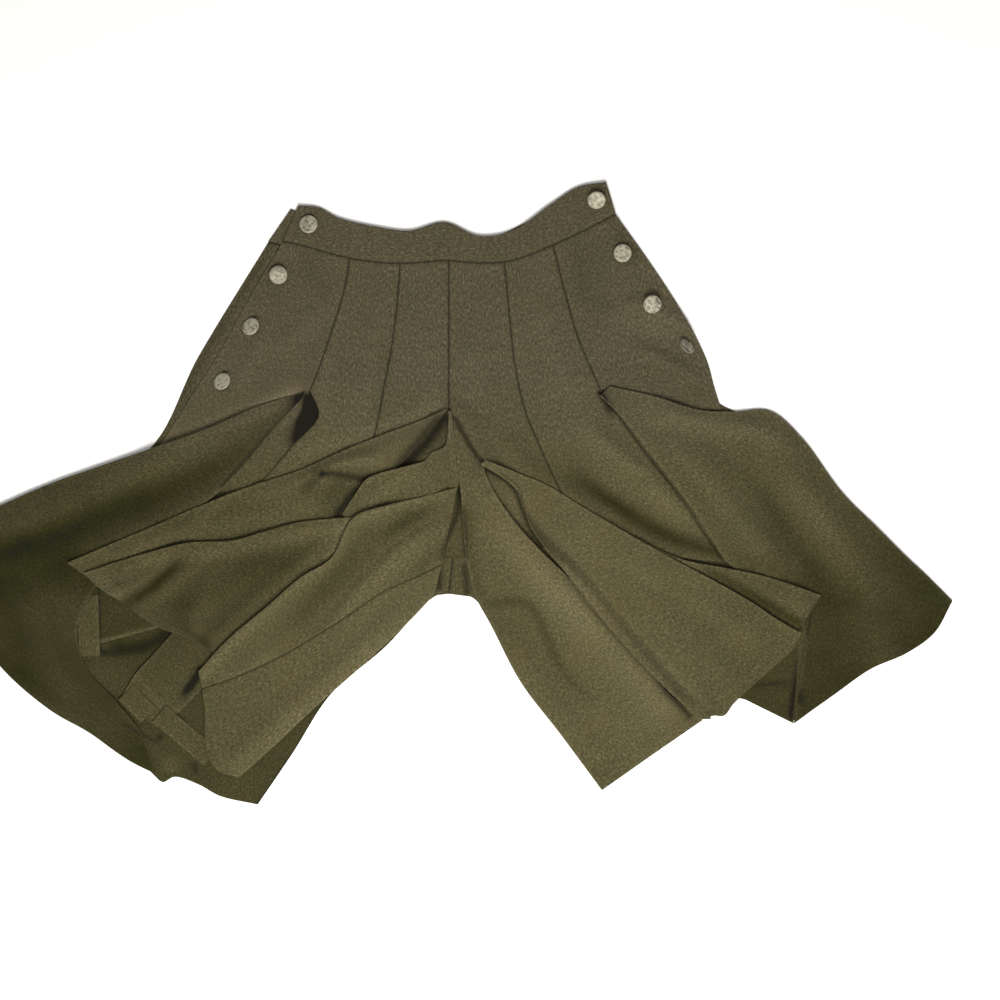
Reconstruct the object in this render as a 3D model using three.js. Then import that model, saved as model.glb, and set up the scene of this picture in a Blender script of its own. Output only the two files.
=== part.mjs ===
// A pleated flannel skort, laid on a table with its front up.
//
// X runs across the garment, Y from the hems to the waist, Z up from the table.
// Every piece of cloth is one sheet: a short table of sections gives its plan, and its height
// comes from what it lies on. The sheets are laid one layer after another, lowest first.
import * as THREE from "three";

// Driving dimensions, millimetres.
const cloth = 1.6; // thickness of the flannel
const bandCloth = 2.6; // the waistband, turned double
const seamGap = 0.3; // between two pieces sewn edge to edge, and between two layers
const bendInside = 1.2; // inside radius where the cloth is folded over
const bendSteps = 3; // faces round a fold
const settle = 46; // how far the upper leaf of a fold takes to come down
const fineCell = 31; // side of a face on a draped sheet
const closeCell = 16; // the same on a small piece
const turnUp = 24; // depth of the hem's turn-up
const buttonDiameter = 21;
const buttonHeight = 4;
const buttonSides = 16;

const bendOutside = bendInside + cloth;
const leafRise = bendInside + bendOutside; // underside of a fold's upper leaf above its lower one

// The height map: the highest cloth so far, on a square grid.
const mapPitch = 4;
const mapMin = { x: -640, y: -420 };
const mapSize = { x: 321, y: 211 };
const reach = 24; // a sheet clears whatever lies this close to any point of it
const closeReach = 14; // the same for a small piece, which has smaller faces
const soften = 12; // and comes down over about this distance

const flannel = { color: 0x554e37, roughness: 0.95, metalness: 0 };
const pewter = { color: 0xb9b5a6, roughness: 0.42, metalness: 0.85 };

const highest = new Float32Array(mapSize.x * mapSize.y);

const clamp = THREE.MathUtils.clamp;
const lerp = THREE.MathUtils.lerp;
const smoothstep = THREE.MathUtils.smoothstep;

// Offsets of the map's cells within a radius.
function disc(radius) {
  const cells = Math.floor(radius / mapPitch);
  const list = [];
  for (let dy = -cells; dy <= cells; dy += 1) {
    for (let dx = -cells; dx <= cells; dx += 1) {
      if (Math.hypot(dx, dy) * mapPitch <= radius) list.push([dx, dy]);
    }
  }
  return list;
}

// A new map whose cells gather the old one's over a disc.
function gather(map, radius, start, join, finish) {
  const offsets = disc(radius);
  const out = new Float32Array(map.length);
  for (let row = 0; row < mapSize.y; row += 1) {
    for (let column = 0; column < mapSize.x; column += 1) {
      let value = start;
      for (const [dx, dy] of offsets) {
        const x = clamp(column + dx, 0, mapSize.x - 1);
        const y = clamp(row + dy, 0, mapSize.y - 1);
        value = join(value, map[y * mapSize.x + x]);
      }
      out[row * mapSize.x + column] = finish(value, offsets.length);
    }
  }
  return out;
}

// What the next layer rests on: a smooth surface that clears all that has been laid.
function supportNow(clear = reach) {
  const spread = gather(highest, clear + soften, 0, Math.max, (value) => value);
  const smooth = gather(spread, soften, 0, (a, b) => a + b, (value, count) => value / count);
  return (x, y) => {
    const column = clamp((x - mapMin.x) / mapPitch, 0, mapSize.x - 1.001);
    const row = clamp((y - mapMin.y) / mapPitch, 0, mapSize.y - 1.001);
    const i = Math.floor(column);
    const j = Math.floor(row);
    const at = (dx, dy) => smooth[(j + dy) * mapSize.x + i + dx];
    const low = lerp(at(0, 0), at(1, 0), column - i);
    const high = lerp(at(0, 1), at(1, 1), column - i);
    return lerp(low, high, row - j) + seamGap;
  };
}

// Visits the map's cells under a triangle, with the triangle's height over each.
function overCells(a, b, c, visit) {
  const longest = Math.max(a.distanceTo(b), b.distanceTo(c), c.distanceTo(a));
  const steps = Math.max(1, Math.ceil(longest / (mapPitch * 0.7)));
  for (let i = 0; i <= steps; i += 1) {
    for (let j = 0; j <= steps - i; j += 1) {
      const u = i / steps;
      const v = j / steps;
      const x = a.x + u * (b.x - a.x) + v * (c.x - a.x);
      const y = a.y + u * (b.y - a.y) + v * (c.y - a.y);
      const z = a.z + u * (b.z - a.z) + v * (c.z - a.z);
      const column = clamp(Math.round((x - mapMin.x) / mapPitch), 0, mapSize.x - 1);
      const row = clamp(Math.round((y - mapMin.y) / mapPitch), 0, mapSize.y - 1);
      visit(row * mapSize.x + column, z);
    }
  }
}

// The same for every face of a grid of points.
function overGrid(grid, visit) {
  for (let i = 0; i < grid.length - 1; i += 1) {
    for (let k = 0; k < grid[i].length - 1; k += 1) {
      overCells(grid[i][k], grid[i + 1][k], grid[i + 1][k + 1], visit);
      overCells(grid[i][k], grid[i + 1][k + 1], grid[i][k + 1], visit);
    }
  }
}

const plan = ([x, y]) => new THREE.Vector3(x, y, 0);

// A smooth line through a list of points, with a corner at each listed station.
function lineThrough(points, corners = []) {
  const last = points.length - 1;
  const stops = [0, ...corners, last];
  const runs = [];
  for (let k = 0; k < stops.length - 1; k += 1) {
    const some = points.slice(stops[k], stops[k + 1] + 1).map(plan);
    runs.push({
      from: stops[k],
      to: stops[k + 1],
      curve: new THREE.CatmullRomCurve3(some, false, "centripetal"),
    });
  }
  return (station) => {
    const run = runs.find((one) => station <= one.to + 1e-9) ?? runs[runs.length - 1];
    return run.curve.getPoint(clamp((station - run.from) / (run.to - run.from), 0, 1));
  };
}

// The cross-section of a sheet, from edge a to edge b, as pairs of an outer and an inner point.
// s is the distance from edge a, z the height above the support.
function crossSection(width, sheet, columns) {
  const { foldA = 0, foldB = 0, wall = cloth } = sheet;
  const room = foldA && foldB ? 0.45 * (width - 2 * bendOutside) : 0.8 * (width - bendOutside);
  const leafA = Math.min(foldA, room);
  const leafB = Math.min(foldB, room);
  const bend = (leaf) => {
    const points = [];
    points.push({ outer: [bendOutside + leaf, 0], inner: [bendOutside + leaf, wall] });
    for (let k = 0; k <= bendSteps; k += 1) {
      const angle = -Math.PI / 2 - (Math.PI * k) / bendSteps;
      const ring = (radius) => [
        bendOutside + radius * Math.cos(angle),
        bendOutside + radius * Math.sin(angle),
      ];
      points.push({ outer: ring(bendOutside), inner: ring(bendInside) });
    }
    return points;
  };
  const start = foldA ? bendOutside : sheet.insetA ?? 0;
  const end = width - (foldB ? bendOutside : sheet.insetB ?? 0);
  const upper = [];
  for (let k = 0; k <= columns; k += 1) {
    const s = lerp(start, end, k / columns);
    const comesDown = (leaf, distance) => 1 - smoothstep(distance, leaf + 8, leaf + 8 + settle);
    const fromA = foldA ? comesDown(leafA, s) : 0;
    const fromB = foldB ? comesDown(leafB, width - s) : 0;
    const rise = leafRise * Math.max(fromA, fromB);
    upper.push({ outer: [s, rise + wall], inner: [s, rise], top: true });
  }
  const left = foldA ? bend(leafA).slice(0, -1) : [];
  const right = foldB ? bend(leafB).slice(0, -1).reverse() : [];
  const mirrored = right.map(({ outer, inner }) => ({
    outer: [width - outer[0], outer[1]],
    inner: [width - inner[0], inner[1]],
  }));
  return [...left, ...upper, ...mirrored];
}

// Soft ridges along the upper leaf, each from one point to another.
function ridgeHeight(x, y, ridges = []) {
  let height = 0;
  for (const ridge of ridges) {
    const dx = ridge.to[0] - ridge.from[0];
    const dy = ridge.to[1] - ridge.from[1];
    const along = ((x - ridge.from[0]) * dx + (y - ridge.from[1]) * dy) / (dx * dx + dy * dy);
    const aside = ((x - ridge.from[0]) * dy - (y - ridge.from[1]) * dx) / Math.hypot(dx, dy);
    const ends = smoothstep(along, -0.1, 0.25) * (1 - smoothstep(along, 0.85, 1.25));
    height += ridge.height * ends * Math.exp(-((aside / ridge.width) ** 2));
  }
  return height;
}

// A closed wall of cloth from a table of sections.
function sheetGeometry(sheet, support) {
  const { sections, cornersA, cornersB, start, end } = sheet;
  const cell = sheet.cell ?? fineCell;
  const lineA = lineThrough(sections.map((row) => row.a), cornersA);
  const lineB = lineThrough(sections.map((row) => row.b), cornersB);
  const spans = sections.length - 1;
  const widths = sections.map((row) => Math.hypot(row.b[0] - row.a[0], row.b[1] - row.a[1]));
  const columns = sheet.columns ?? Math.max(1, Math.ceil(Math.max(...widths) / cell));
  const rowStations = [0];
  for (let span = 0; span < spans; span += 1) {
    const longest = Math.max(
      lineA(span).distanceTo(lineA(span + 1)),
      lineB(span).distanceTo(lineB(span + 1)),
    );
    const steps = sheet.steps ?? Math.max(1, Math.ceil(longest / cell));
    for (let k = 1; k <= steps; k += 1) rowStations.push(span + k / steps);
  }

  const outer = [];
  const inner = [];
  for (const station of rowStations) {
    const a = lineA(station);
    const b = lineB(station);
    const width = a.distanceTo(b);
    const across = b.clone().sub(a).normalize();
    const v = station / spans;
    const bent = (s) => {
      const u = clamp(s / width, 0, 1);
      const place = a.clone().addScaledVector(across, s);
      if (start) {
        const straight = lineA(0).lerp(lineB(0), u);
        place.addScaledVector(start(u).sub(straight), (1 - v) ** 3);
      }
      if (end) {
        const straight = lineA(spans).lerp(lineB(spans), u);
        place.addScaledVector(end(u).sub(straight), v ** 3);
      }
      return place;
    };
    const section = crossSection(width, sheet, columns);
    const raised = ([s, z], top) => {
      const place = bent(s);
      const share = top ? 1 : clamp(z / leafRise, 0, 1) * (sheet.foldA || sheet.foldB ? 1 : 0);
      const ridge = ridgeHeight(place.x, place.y, sheet.ridges);
      place.z = support(place.x, place.y) + z + ridge * share;
      return place;
    };
    outer.push(section.map((point) => raised(point.outer, point.top)));
    inner.push(section.map((point) => raised(point.inner, point.top)));
  }

  const rows = outer.length;
  const count = outer[0].length;
  const positions = [...outer.flat(), ...inner.flat()].flatMap((p) => [p.x, p.y, p.z]);
  const at = (side, row, column) => side * rows * count + row * count + column;
  const faces = [];
  const quad = (a, b, c, d) => faces.push(a, b, c, a, c, d);
  for (let i = 0; i < rows - 1; i += 1) {
    for (let k = 0; k < count - 1; k += 1) {
      quad(at(0, i, k), at(0, i + 1, k), at(0, i + 1, k + 1), at(0, i, k + 1));
      quad(at(1, i, k), at(1, i, k + 1), at(1, i + 1, k + 1), at(1, i + 1, k));
    }
    quad(at(0, i, 0), at(1, i, 0), at(1, i + 1, 0), at(0, i + 1, 0));
    const k = count - 1;
    quad(at(0, i, k), at(0, i + 1, k), at(1, i + 1, k), at(1, i, k));
  }
  for (let k = 0; k < count - 1; k += 1) {
    quad(at(0, 0, k), at(0, 0, k + 1), at(1, 0, k + 1), at(1, 0, k));
    const i = rows - 1;
    quad(at(0, i, k), at(1, i, k), at(1, i, k + 1), at(0, i, k + 1));
  }

  // The outer faces point up where the sections run to the left of their own way down the sheet.
  const down = lineA(1).sub(lineA(0)).add(lineB(1).sub(lineB(0)));
  const over = lineB(1).sub(lineA(1));
  if (down.x * over.y - down.y * over.x < 0) faces.reverse();
  const geometry = new THREE.BufferGeometry();
  geometry.setAttribute("position", new THREE.Float32BufferAttribute(positions, 3));
  geometry.setIndex(faces);
  return { geometry, outer, inner };
}

const skort = new THREE.Group();

function addMesh(name, geometry, finish) {
  geometry.computeVertexNormals();
  const mesh = new THREE.Mesh(geometry, new THREE.MeshStandardMaterial({ ...finish }));
  mesh.name = name;
  skort.add(mesh);
  return mesh;
}

// Lays a whole layer: its sheets are sewn together or lie apart, and share one support.
// The layer is let down until it touches what lies under it.
function layLayer(sheets, support = supportNow()) {
  let clearance = Infinity;
  for (const sheet of sheets) {
    const { outer, inner } = sheetGeometry(sheet, support);
    for (const grid of [outer, inner]) {
      overGrid(grid, (cell, z) => {
        clearance = Math.min(clearance, z - highest[cell]);
      });
    }
  }
  const drop = Math.max(0, clearance - 2 * seamGap);
  const lowered = (x, y) => support(x, y) - drop;
  const made = sheets.map((sheet) => {
    const { geometry, outer } = sheetGeometry(sheet, lowered);
    addMesh(sheet.name, geometry, flannel);
    return outer;
  });
  for (const grid of made) {
    overGrid(grid, (cell, z) => {
      highest[cell] = Math.max(highest[cell], z);
    });
  }
}

// A waistband from a table: a on the seam to the panels, b on the free edge above it.
// The panels' tops have their corners on the seam, and the band has one at each of them.
function makeBand(name, table) {
  const seam = lineThrough(table.map((row) => row.a));
  const edge = lineThrough(table.map((row) => row.b));
  const stationAt = (x) => {
    let low = 0;
    let high = table.length - 1;
    for (let k = 0; k < 40; k += 1) {
      const middle = (low + high) / 2;
      if (seam(middle).x < x) low = middle;
      else high = middle;
    }
    return (low + high) / 2;
  };
  const pointAt = (line, x, up) => {
    const point = line(stationAt(x));
    return [point.x, point.y + up];
  };
  const meet = (panels) => {
    const xs = panels.flatMap(({ sections: [row], columns }, k) =>
      Array.from({ length: columns + (k ? 0 : 1) }, (_, i) =>
        lerp(row.a[0], row.b[0], (i + (k ? 1 : 0)) / columns),
      ),
    );
    for (const panel of panels) {
      const [row] = panel.sections;
      panel.start = (u) => plan(pointAt(seam, lerp(row.a[0], row.b[0], u), -seamGap / 2));
    }
    const sections = xs.map((x) => ({ a: pointAt(seam, x, seamGap / 2), b: pointAt(edge, x, 0) }));
    return { name, wall: bandCloth, steps: 1, columns: 2, sections };
  };
  return meet;
}

// The bottom edge of a sheet, through the points of its hem.
function alongHem(points) {
  const line = lineThrough(points);
  return (u) => line(u * (points.length - 1));
}

// The seams of the front at four stations, from the waist to where the pleats open.
const frontStations = [
  {
    hipLeft: [-189, 290],
    sideLeft: [-112, 270.3],
    princessLeft: [-54, 265.2],
    centre: [2, 267.9],
    princessRight: [66, 267.3],
    sideRight: [122, 285.9],
    hipRight: [194, 321],
  },
  {
    hipLeft: [-226, 228],
    sideLeft: [-119, 232],
    princessLeft: [-58, 214],
    centre: [2, 212],
    princessRight: [72, 205],
    sideRight: [134, 238],
    hipRight: [230, 271],
  },
  {
    hipLeft: [-263, 161],
    sideLeft: [-132, 190],
    princessLeft: [-64, 168],
    centre: [2, 155],
    princessRight: [78, 150],
    sideRight: [150, 182],
    hipRight: [268, 213],
  },
  {
    hipLeft: [-300, 103],
    sideLeft: [-146, 148],
    princessLeft: [-73, 121],
    centre: [2, 98],
    princessRight: [90, 95],
    sideRight: [176, 120],
    hipRight: [299, 154],
  },
];

const frontSteps = 3; // rows of faces between two stations, alike on both sides of a seam
const opening = frontStations.length - 1; // the station where the pleats open

function frontPanel(name, columns, seamA, seamB, below, corners) {
  const sections = [
    ...frontStations.map((row) => ({ a: row[seamA], b: row[seamB] })),
    ...below,
  ];
  return {
    name,
    columns,
    sections,
    steps: frontSteps,
    insetA: seamGap / 2,
    insetB: seamGap / 2,
    ...corners,
  };
}

// Layer 1: the back, flat on the table.
const backSteps = 1;
const backLeft = {
  name: "back_left",
  columns: 6,
  steps: backSteps,
  insetB: seamGap / 2,
  cornersB: [4],
  sections: [
    { a: [-206, 289], b: [2, 267.9] },
    { a: [-286, 158], b: [3, 180] },
    { a: [-345, 49], b: [4, 80] },
    { a: [-452, 4], b: [5, -20] },
    { a: [-550, -40], b: [2, -116] },
    { a: [-554, -60], b: [-14, -119] },
    { a: [-560, -100], b: [-72, -178] },
    { a: [-508, -196], b: [-134, -232] },
    { a: [-408, -268], b: [-178, -300] },
    { a: [-342, -320], b: [-218, -359] },
  ],
};
const backRight = {
  name: "back_right",
  columns: 6,
  steps: backSteps,
  insetA: seamGap / 2,
  cornersA: [4],
  sections: [
    { a: [2, 267.9], b: [194, 321] },
    { a: [3, 180], b: [266, 212] },
    { a: [4, 80], b: [306, 110] },
    { a: [5, -20], b: [390, 72] },
    { a: [2, -116], b: [450, -2] },
    { a: [30, -121], b: [458, -24] },
    { a: [64, -175], b: [540, -90] },
    { a: [108, -245], b: [540, -160] },
    { a: [143, -292], b: [470, -210] },
    { a: [183, -337], b: [398, -263] },
  ],
};
const backBand = makeBand(
  "waistband_back",
  [
    { a: [-206, 289], b: [-180, 327] },
    { a: [-123, 273], b: [-122, 308] },
    { a: [-45, 265], b: [-45, 296] },
    { a: [2, 267.9], b: [3, 300] },
    { a: [37, 265], b: [38, 291] },
    { a: [120, 285], b: [112, 322] },
    { a: [194, 321], b: [180, 352] },
  ],
)([backLeft, backRight]);
backLeft.end = alongHem([
  [-342, -320],
  [-328, -333],
  [-314, -327],
  [-286, -336],
  [-262, -349],
  [-218, -359],
]);
backRight.end = alongHem([
  [183, -337],
  [232, -292],
  [285, -256],
  [330, -236],
  [398, -263],
]);

// Layer 2: what lies inside the legs: pleat underlays, the rise and the leaves of the left hem.
const pleatUnderlays = [
  {
    name: "pleat_underlay_left",
    sections: [
      { a: [-188, 128], b: [-128, 120] },
      { a: [-226, 84], b: [-130, 62] },
      { a: [-276, 30], b: [-160, 12] },
      { a: [-330, -20], b: [-205, -40] },
    ],
  },
  {
    name: "pleat_underlay_right",
    sections: [
      { a: [150, 128], b: [204, 134] },
      { a: [180, 76], b: [256, 84] },
      { a: [236, 6], b: [322, 22] },
      { a: [300, -78], b: [382, -44] },
    ],
  },
];
const riseFront = {
  name: "rise_front",
  sections: [
    { a: [-20, 112], b: [22, 112] },
    { a: [-62, 48], b: [34, 44] },
    { a: [-62, 2], b: [56, -12] },
    { a: [-14, -74], b: [44, -74] },
  ],
};
const riseBack = [
  {
    name: "rise_back_left",
    insetB: seamGap / 2,
    sections: [
      { a: [-14, -74.4], b: [7, -74.4] },
      { a: [-15, -118], b: [2, -116] },
    ],
  },
  {
    name: "rise_back_right",
    insetA: seamGap / 2,
    sections: [
      { a: [7, -74.4], b: [44, -74.4] },
      { a: [2, -116], b: [33, -120] },
    ],
  },
];
const hemLeaves = [
  {
    name: "hem_leaf_1",
    sections: [
      { a: [-430, -84], b: [-322, -84] },
      { a: [-426, -130], b: [-326, -128] },
      { a: [-400, -173], b: [-334, -155] },
    ],
  },
  {
    name: "hem_leaf_2",
    foldA: 10,
    sections: [
      { a: [-316, -160], b: [-262, -160] },
      { a: [-337, -184], b: [-264, -196] },
      { a: [-359, -208], b: [-300, -244] },
      { a: [-376, -236], b: [-334, -270] },
    ],
  },
];
const underPleatRight = {
  name: "under_pleat_right",
  foldB: 12,
  sections: [
    { a: [306, -176], b: [396, -120] },
    { a: [330, -214], b: [404, -190] },
    { a: [340, -236], b: [399, -265] },
  ],
};

// Layer 3: the turned-up hem, seen inside the left leg, and the right leg's inner leaf.
function turnUpStrip(name, from, to) {
  const along = plan(to).sub(plan(from)).normalize();
  const aside = [-along.y * turnUp, along.x * turnUp];
  const far = (point) => [point[0] + aside[0], point[1] + aside[1]];
  return {
    name,
    sections: [
      { a: from, b: far(from) },
      { a: to, b: far(to) },
    ],
  };
}
const hemTurnUps = [
  turnUpStrip("hem_turn_up_1", [-426, -118], [-424, -188]),
  turnUpStrip("hem_turn_up_2", [-378, -238], [-352, -264]),
  turnUpStrip("hem_turn_up_3", [-339, -263], [-280, -314]),
];
const legLeafRight = {
  name: "leg_leaf_right",
  sections: [
    { a: [14, 84], b: [40, 74] },
    { a: [30, 34], b: [92, 26] },
    { a: [62, -14], b: [124, -16] },
    { a: [104, -80], b: [166, -62] },
    { a: [182, -176], b: [246, -154] },
    { a: [258, -262], b: [304, -260] },
  ],
};

// Layer 4: the inside of the right leg, under the front's folded edge.
const legFlapRight = {
  name: "leg_flap_right",
  foldA: 12,
  foldB: 22,
  sections: [
    { a: [1, 96], b: [13, 92] },
    { a: [8, 43], b: [37, 46] },
    { a: [15, 5], b: [49, 12] },
    { a: [18, -30], b: [75, -29] },
    { a: [22, -75], b: [109, -67] },
    { a: [33, -119], b: [154, -110] },
    { a: [51, -153], b: [192, -158] },
    { a: [85, -218], b: [229, -200] },
    { a: [130, -277], b: [263, -238] },
    { a: [178, -342], b: [294, -261] },
  ],
  ridges: [
    { from: [40, -60], to: [214, -290], width: 34, height: 5 },
    { from: [60, 0], to: [160, -120], width: 22, height: 3 },
  ],
};

// Layer 5: the front, six panels sewn edge to edge below a waistband.
const hipLeftPanel = frontPanel(
  "front_hip_left",
  8,
  "hipLeft",
  "sideLeft",
  [
    { a: [-336, 46], b: [-158, 118] },
    { a: [-350, 22], b: [-166, 84] },
  ],
  { cornersB: [opening + 1] },
);
const sideLeftPanel = frontPanel(
  "front_side_left",
  4,
  "sideLeft",
  "princessLeft",
  [
    { a: [-158, 118], b: [-80, 82] },
    { a: [-148, 90], b: [-88, 50] },
    { a: [-178, 55], b: [-96, 15] },
    { a: [-216, 10], b: [-110, -20] },
  ],
  { cornersA: [opening + 1] },
);
const centreLeftPanel = frontPanel(
  "front_centre_left",
  4,
  "princessLeft",
  "centre",
  [
    { a: [-80, 82], b: [-16, 82] },
    { a: [-88, 50], b: [-40, 56] },
    { a: [-96, 15], b: [-66, 34] },
    { a: [-110, -20], b: [-86, 14] },
  ],
  { cornersB: [opening] },
);
const centreRightPanel = frontPanel(
  "front_centre_right",
  4,
  "centre",
  "princessRight",
  [
    { a: [22, 61], b: [105, 58] },
    { a: [45, 36], b: [124, 16] },
    { a: [100, 2], b: [148, -28] },
    { a: [124, -30], b: [180, -70] },
  ],
  { cornersA: [opening] },
);
const sideRightPanel = frontPanel(
  "front_side_right",
  5,
  "princessRight",
  "sideRight",
  [
    { a: [105, 58], b: [198, 96] },
    { a: [124, 16], b: [246, 37] },
    { a: [148, -28], b: [290, -18] },
    { a: [180, -70], b: [332, -80] },
  ],
  { cornersB: [opening] },
);
const hipRightPanel = frontPanel(
  "front_hip_right",
  6,
  "sideRight",
  "hipRight",
  [
    { a: [198, 112], b: [308, 122] },
    { a: [226, 90], b: [316, 96] },
  ],
  { cornersA: [opening] },
);
const frontPanels = [
  hipLeftPanel,
  sideLeftPanel,
  centreLeftPanel,
  centreRightPanel,
  sideRightPanel,
  hipRightPanel,
];
const frontBand = makeBand(
  "waistband_front",
  [
    { a: [-189, 290], b: [-171, 331] },
    { a: [-162, 284], b: [-148, 329] },
    { a: [-123, 273], b: [-125, 317] },
    { a: [-82, 266], b: [-84, 307] },
    { a: [-45, 265], b: [-43, 302] },
    { a: [0, 268], b: [-3, 312] },
    { a: [37, 265], b: [37, 296] },
    { a: [75, 268], b: [75, 302] },
    { a: [120, 285], b: [119, 332] },
    { a: [155, 301], b: [150, 352] },
    { a: [194, 321], b: [183, 358] },
  ],
)(frontPanels);

// Layer 6: the outer pleat of each leg, thrown out over the hip.
const flareLeft = {
  name: "outer_flare_left",
  columns: 12,
  foldA: 22,
  foldB: 26,
  sections: [
    { a: [-163, 117], b: [-168, 107] },
    { a: [-217, 101], b: [-200, 72] },
    { a: [-276, 75], b: [-240, 23] },
    { a: [-345, 50], b: [-285, -18] },
    { a: [-400, 31], b: [-345, -62] },
    { a: [-459, 10], b: [-400, -104] },
    { a: [-514, -14], b: [-425, -150] },
    { a: [-545, -28], b: [-416, -200] },
    { a: [-562, -42], b: [-382, -238] },
    { a: [-573, -52], b: [-352, -276] },
    { a: [-581, -66], b: [-334, -324] },
  ],
  ridges: [
    { from: [-330, 10], to: [-520, -60], width: 34, height: 4 },
    { from: [-430, -60], to: [-450, -220], width: 40, height: 4 },
  ],
};
flareLeft.end = alongHem([
  [-581, -66],
  [-569, -108],
  [-543, -155],
  [-514, -200],
  [-457, -250],
  [-411, -276],
  [-366, -308],
  [-334, -324],
]);
const flareRight = {
  name: "outer_flare_right",
  columns: 10,
  foldA: 26,
  foldB: 22,
  sections: [
    { a: [176, 112], b: [188, 123] },
    { a: [202, 86], b: [237, 112] },
    { a: [228, 52], b: [290, 96] },
    { a: [256, 17], b: [330, 94] },
    { a: [282, -18], b: [372, 95] },
    { a: [303, -50], b: [410, 62] },
    { a: [325, -82], b: [455, 1] },
    { a: [376, -112], b: [494, -38] },
    { a: [410, -158], b: [528, -72] },
    { a: [406, -212], b: [556, -98] },
    { a: [399, -265], b: [582, -124] },
  ],
  ridges: [
    { from: [300, 60], to: [470, -120], width: 30, height: 5 },
    { from: [390, 60], to: [540, -110], width: 26, height: 4 },
  ],
};
flareRight.end = alongHem([
  [399, -265],
  [447, -231],
  [490, -201],
  [531, -183],
  [561, -161],
  [582, -124],
]);

// Layers 7 to 11: the middle pleats, fanned out from the foot of the centre seam.
const flapRightUnder = {
  name: "flap_right_under",
  foldB: 14,
  sections: [
    { a: [216, -78], b: [226, -56] },
    { a: [252, -98], b: [271, -76] },
    { a: [298, -122], b: [321, -86] },
    { a: [342, -148], b: [368, -96] },
    { a: [392, -176], b: [430, -117] },
  ],
};
const flapRight = {
  name: "flap_right",
  foldA: 20,
  foldB: 24,
  sections: [
    { a: [39, 33], b: [45, 38] },
    { a: [66, 16], b: [80, 24] },
    { a: [87, -4], b: [116, 9] },
    { a: [94, -34], b: [152, -13] },
    { a: [112, -62], b: [206, -45] },
    { a: [147, -104], b: [263, -77] },
    { a: [185, -152], b: [308, -101] },
    { a: [223, -195], b: [350, -125] },
    { a: [261, -234], b: [383, -147] },
    { a: [290, -261], b: [407, -160] },
  ],
  ridges: [
    { from: [150, -60], to: [350, -190], width: 30, height: 4 },
    { from: [130, -70], to: [300, -240], width: 22, height: 3 },
  ],
};
flapRight.end = alongHem([
  [290, -261],
  [306, -256],
  [319, -256],
  [330, -242],
  [350, -223],
  [377, -199],
  [398, -179],
  [407, -160],
]);
const flapLeft1 = {
  name: "flap_left_1",
  foldA: 24,
  sections: [
    { a: [0, 97], b: [-8, 86] },
    { a: [-30, 84], b: [-42, 46] },
    { a: [-62, 72], b: [-78, 6] },
    { a: [-113, 52], b: [-118, -50] },
    { a: [-169, 27], b: [-165, -72] },
    { a: [-227, 8], b: [-215, -85] },
    { a: [-285, -15], b: [-270, -95] },
    { a: [-350, -43], b: [-326, -106] },
    { a: [-400, -64], b: [-366, -116] },
    { a: [-437, -80], b: [-392, -112] },
  ],
  ridges: [{ from: [-150, 10], to: [-390, -80], width: 26, height: 3 }],
};
const flapLeft1b = {
  name: "flap_left_1b",
  cell: closeCell,
  foldA: 14,
  sections: [
    { a: [2, 94], b: [5, 94] },
    { a: [1, 72], b: [7, 72] },
    { a: [-2, 55], b: [9, 47] },
    { a: [-10, 50], b: [12, 26] },
    { a: [-18, 47], b: [13, 10] },
    { a: [-25, 38], b: [6, -5] },
    { a: [-40, 33], b: [-17, -15] },
    { a: [-55, 29], b: [-43, -22] },
    { a: [-77, 23], b: [-66, -28] },
    { a: [-93, 16], b: [-86, -32] },
    { a: [-107, -3], b: [-105, -33] },
    { a: [-120, -23], b: [-116, -32] },
  ],
};
const flapLeft2 = {
  name: "flap_left_2",
  foldA: 24,
  sections: [
    { a: [-56, -28], b: [-59, -54] },
    { a: [-86, -28], b: [-86, -77] },
    { a: [-116, -28], b: [-109, -100] },
    { a: [-144, -30], b: [-135, -114] },
    { a: [-170, -33], b: [-155, -128] },
    { a: [-208, -43], b: [-181, -152] },
    { a: [-246, -54], b: [-204, -172] },
    { a: [-298, -57], b: [-214, -184] },
    { a: [-350, -70], b: [-232, -198] },
    { a: [-417, -91], b: [-245, -205] },
  ],
  ridges: [
    { from: [-60, -20], to: [-300, -130], width: 24, height: 4 },
    { from: [-150, -40], to: [-380, -100], width: 20, height: 3 },
  ],
};
flapLeft2.end = alongHem([
  [-417, -91],
  [-403, -106],
  [-378, -122],
  [-351, -143],
  [-329, -156],
  [-296, -167],
  [-269, -184],
  [-245, -205],
]);

// The last flap is two pieces, sewn along the middle.
const legSteps = 2;
const legSeam = [
  [-6, -82],
  [-40, -98],
  [-75, -114],
  [-112, -139],
  [-151, -164],
  [-185, -184],
  [-215, -199],
  [-245, -212],
  [-282, -225],
];
const legFold = [
  [12, 7],
  [-25, -3],
  [-67, -13],
  [-107, -27],
  [-133, -74],
  [-169, -97],
  [-208, -131],
  [-251, -167],
  [-286, -205],
];
const legInseam = [
  [-15, -117],
  [-37, -141],
  [-74, -177],
  [-108, -208],
  [-140, -236],
  [-165, -259],
  [-190, -283],
  [-216, -307],
  [-240, -328],
];
const flapLeft3 = {
  name: "flap_left_3",
  foldA: 24,
  insetB: seamGap / 2,
  steps: legSteps,
  sections: legFold.map((point, k) => ({ a: point, b: legSeam[k] })),
  ridges: [{ from: [-60, -56], to: [-250, -190], width: 22, height: 4 }],
};
const flapLeft3Inner = {
  name: "flap_left_3_inner",
  foldB: 14,
  insetA: seamGap / 2,
  steps: legSteps,
  sections: legInseam.map((point, k) => ({ a: legSeam[k], b: point })),
};
flapLeft3Inner.end = alongHem([
  [-282, -225],
  [-279, -251],
  [-279, -273],
  [-277, -296],
  [-266, -318],
  [-240, -328],
]);

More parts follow.
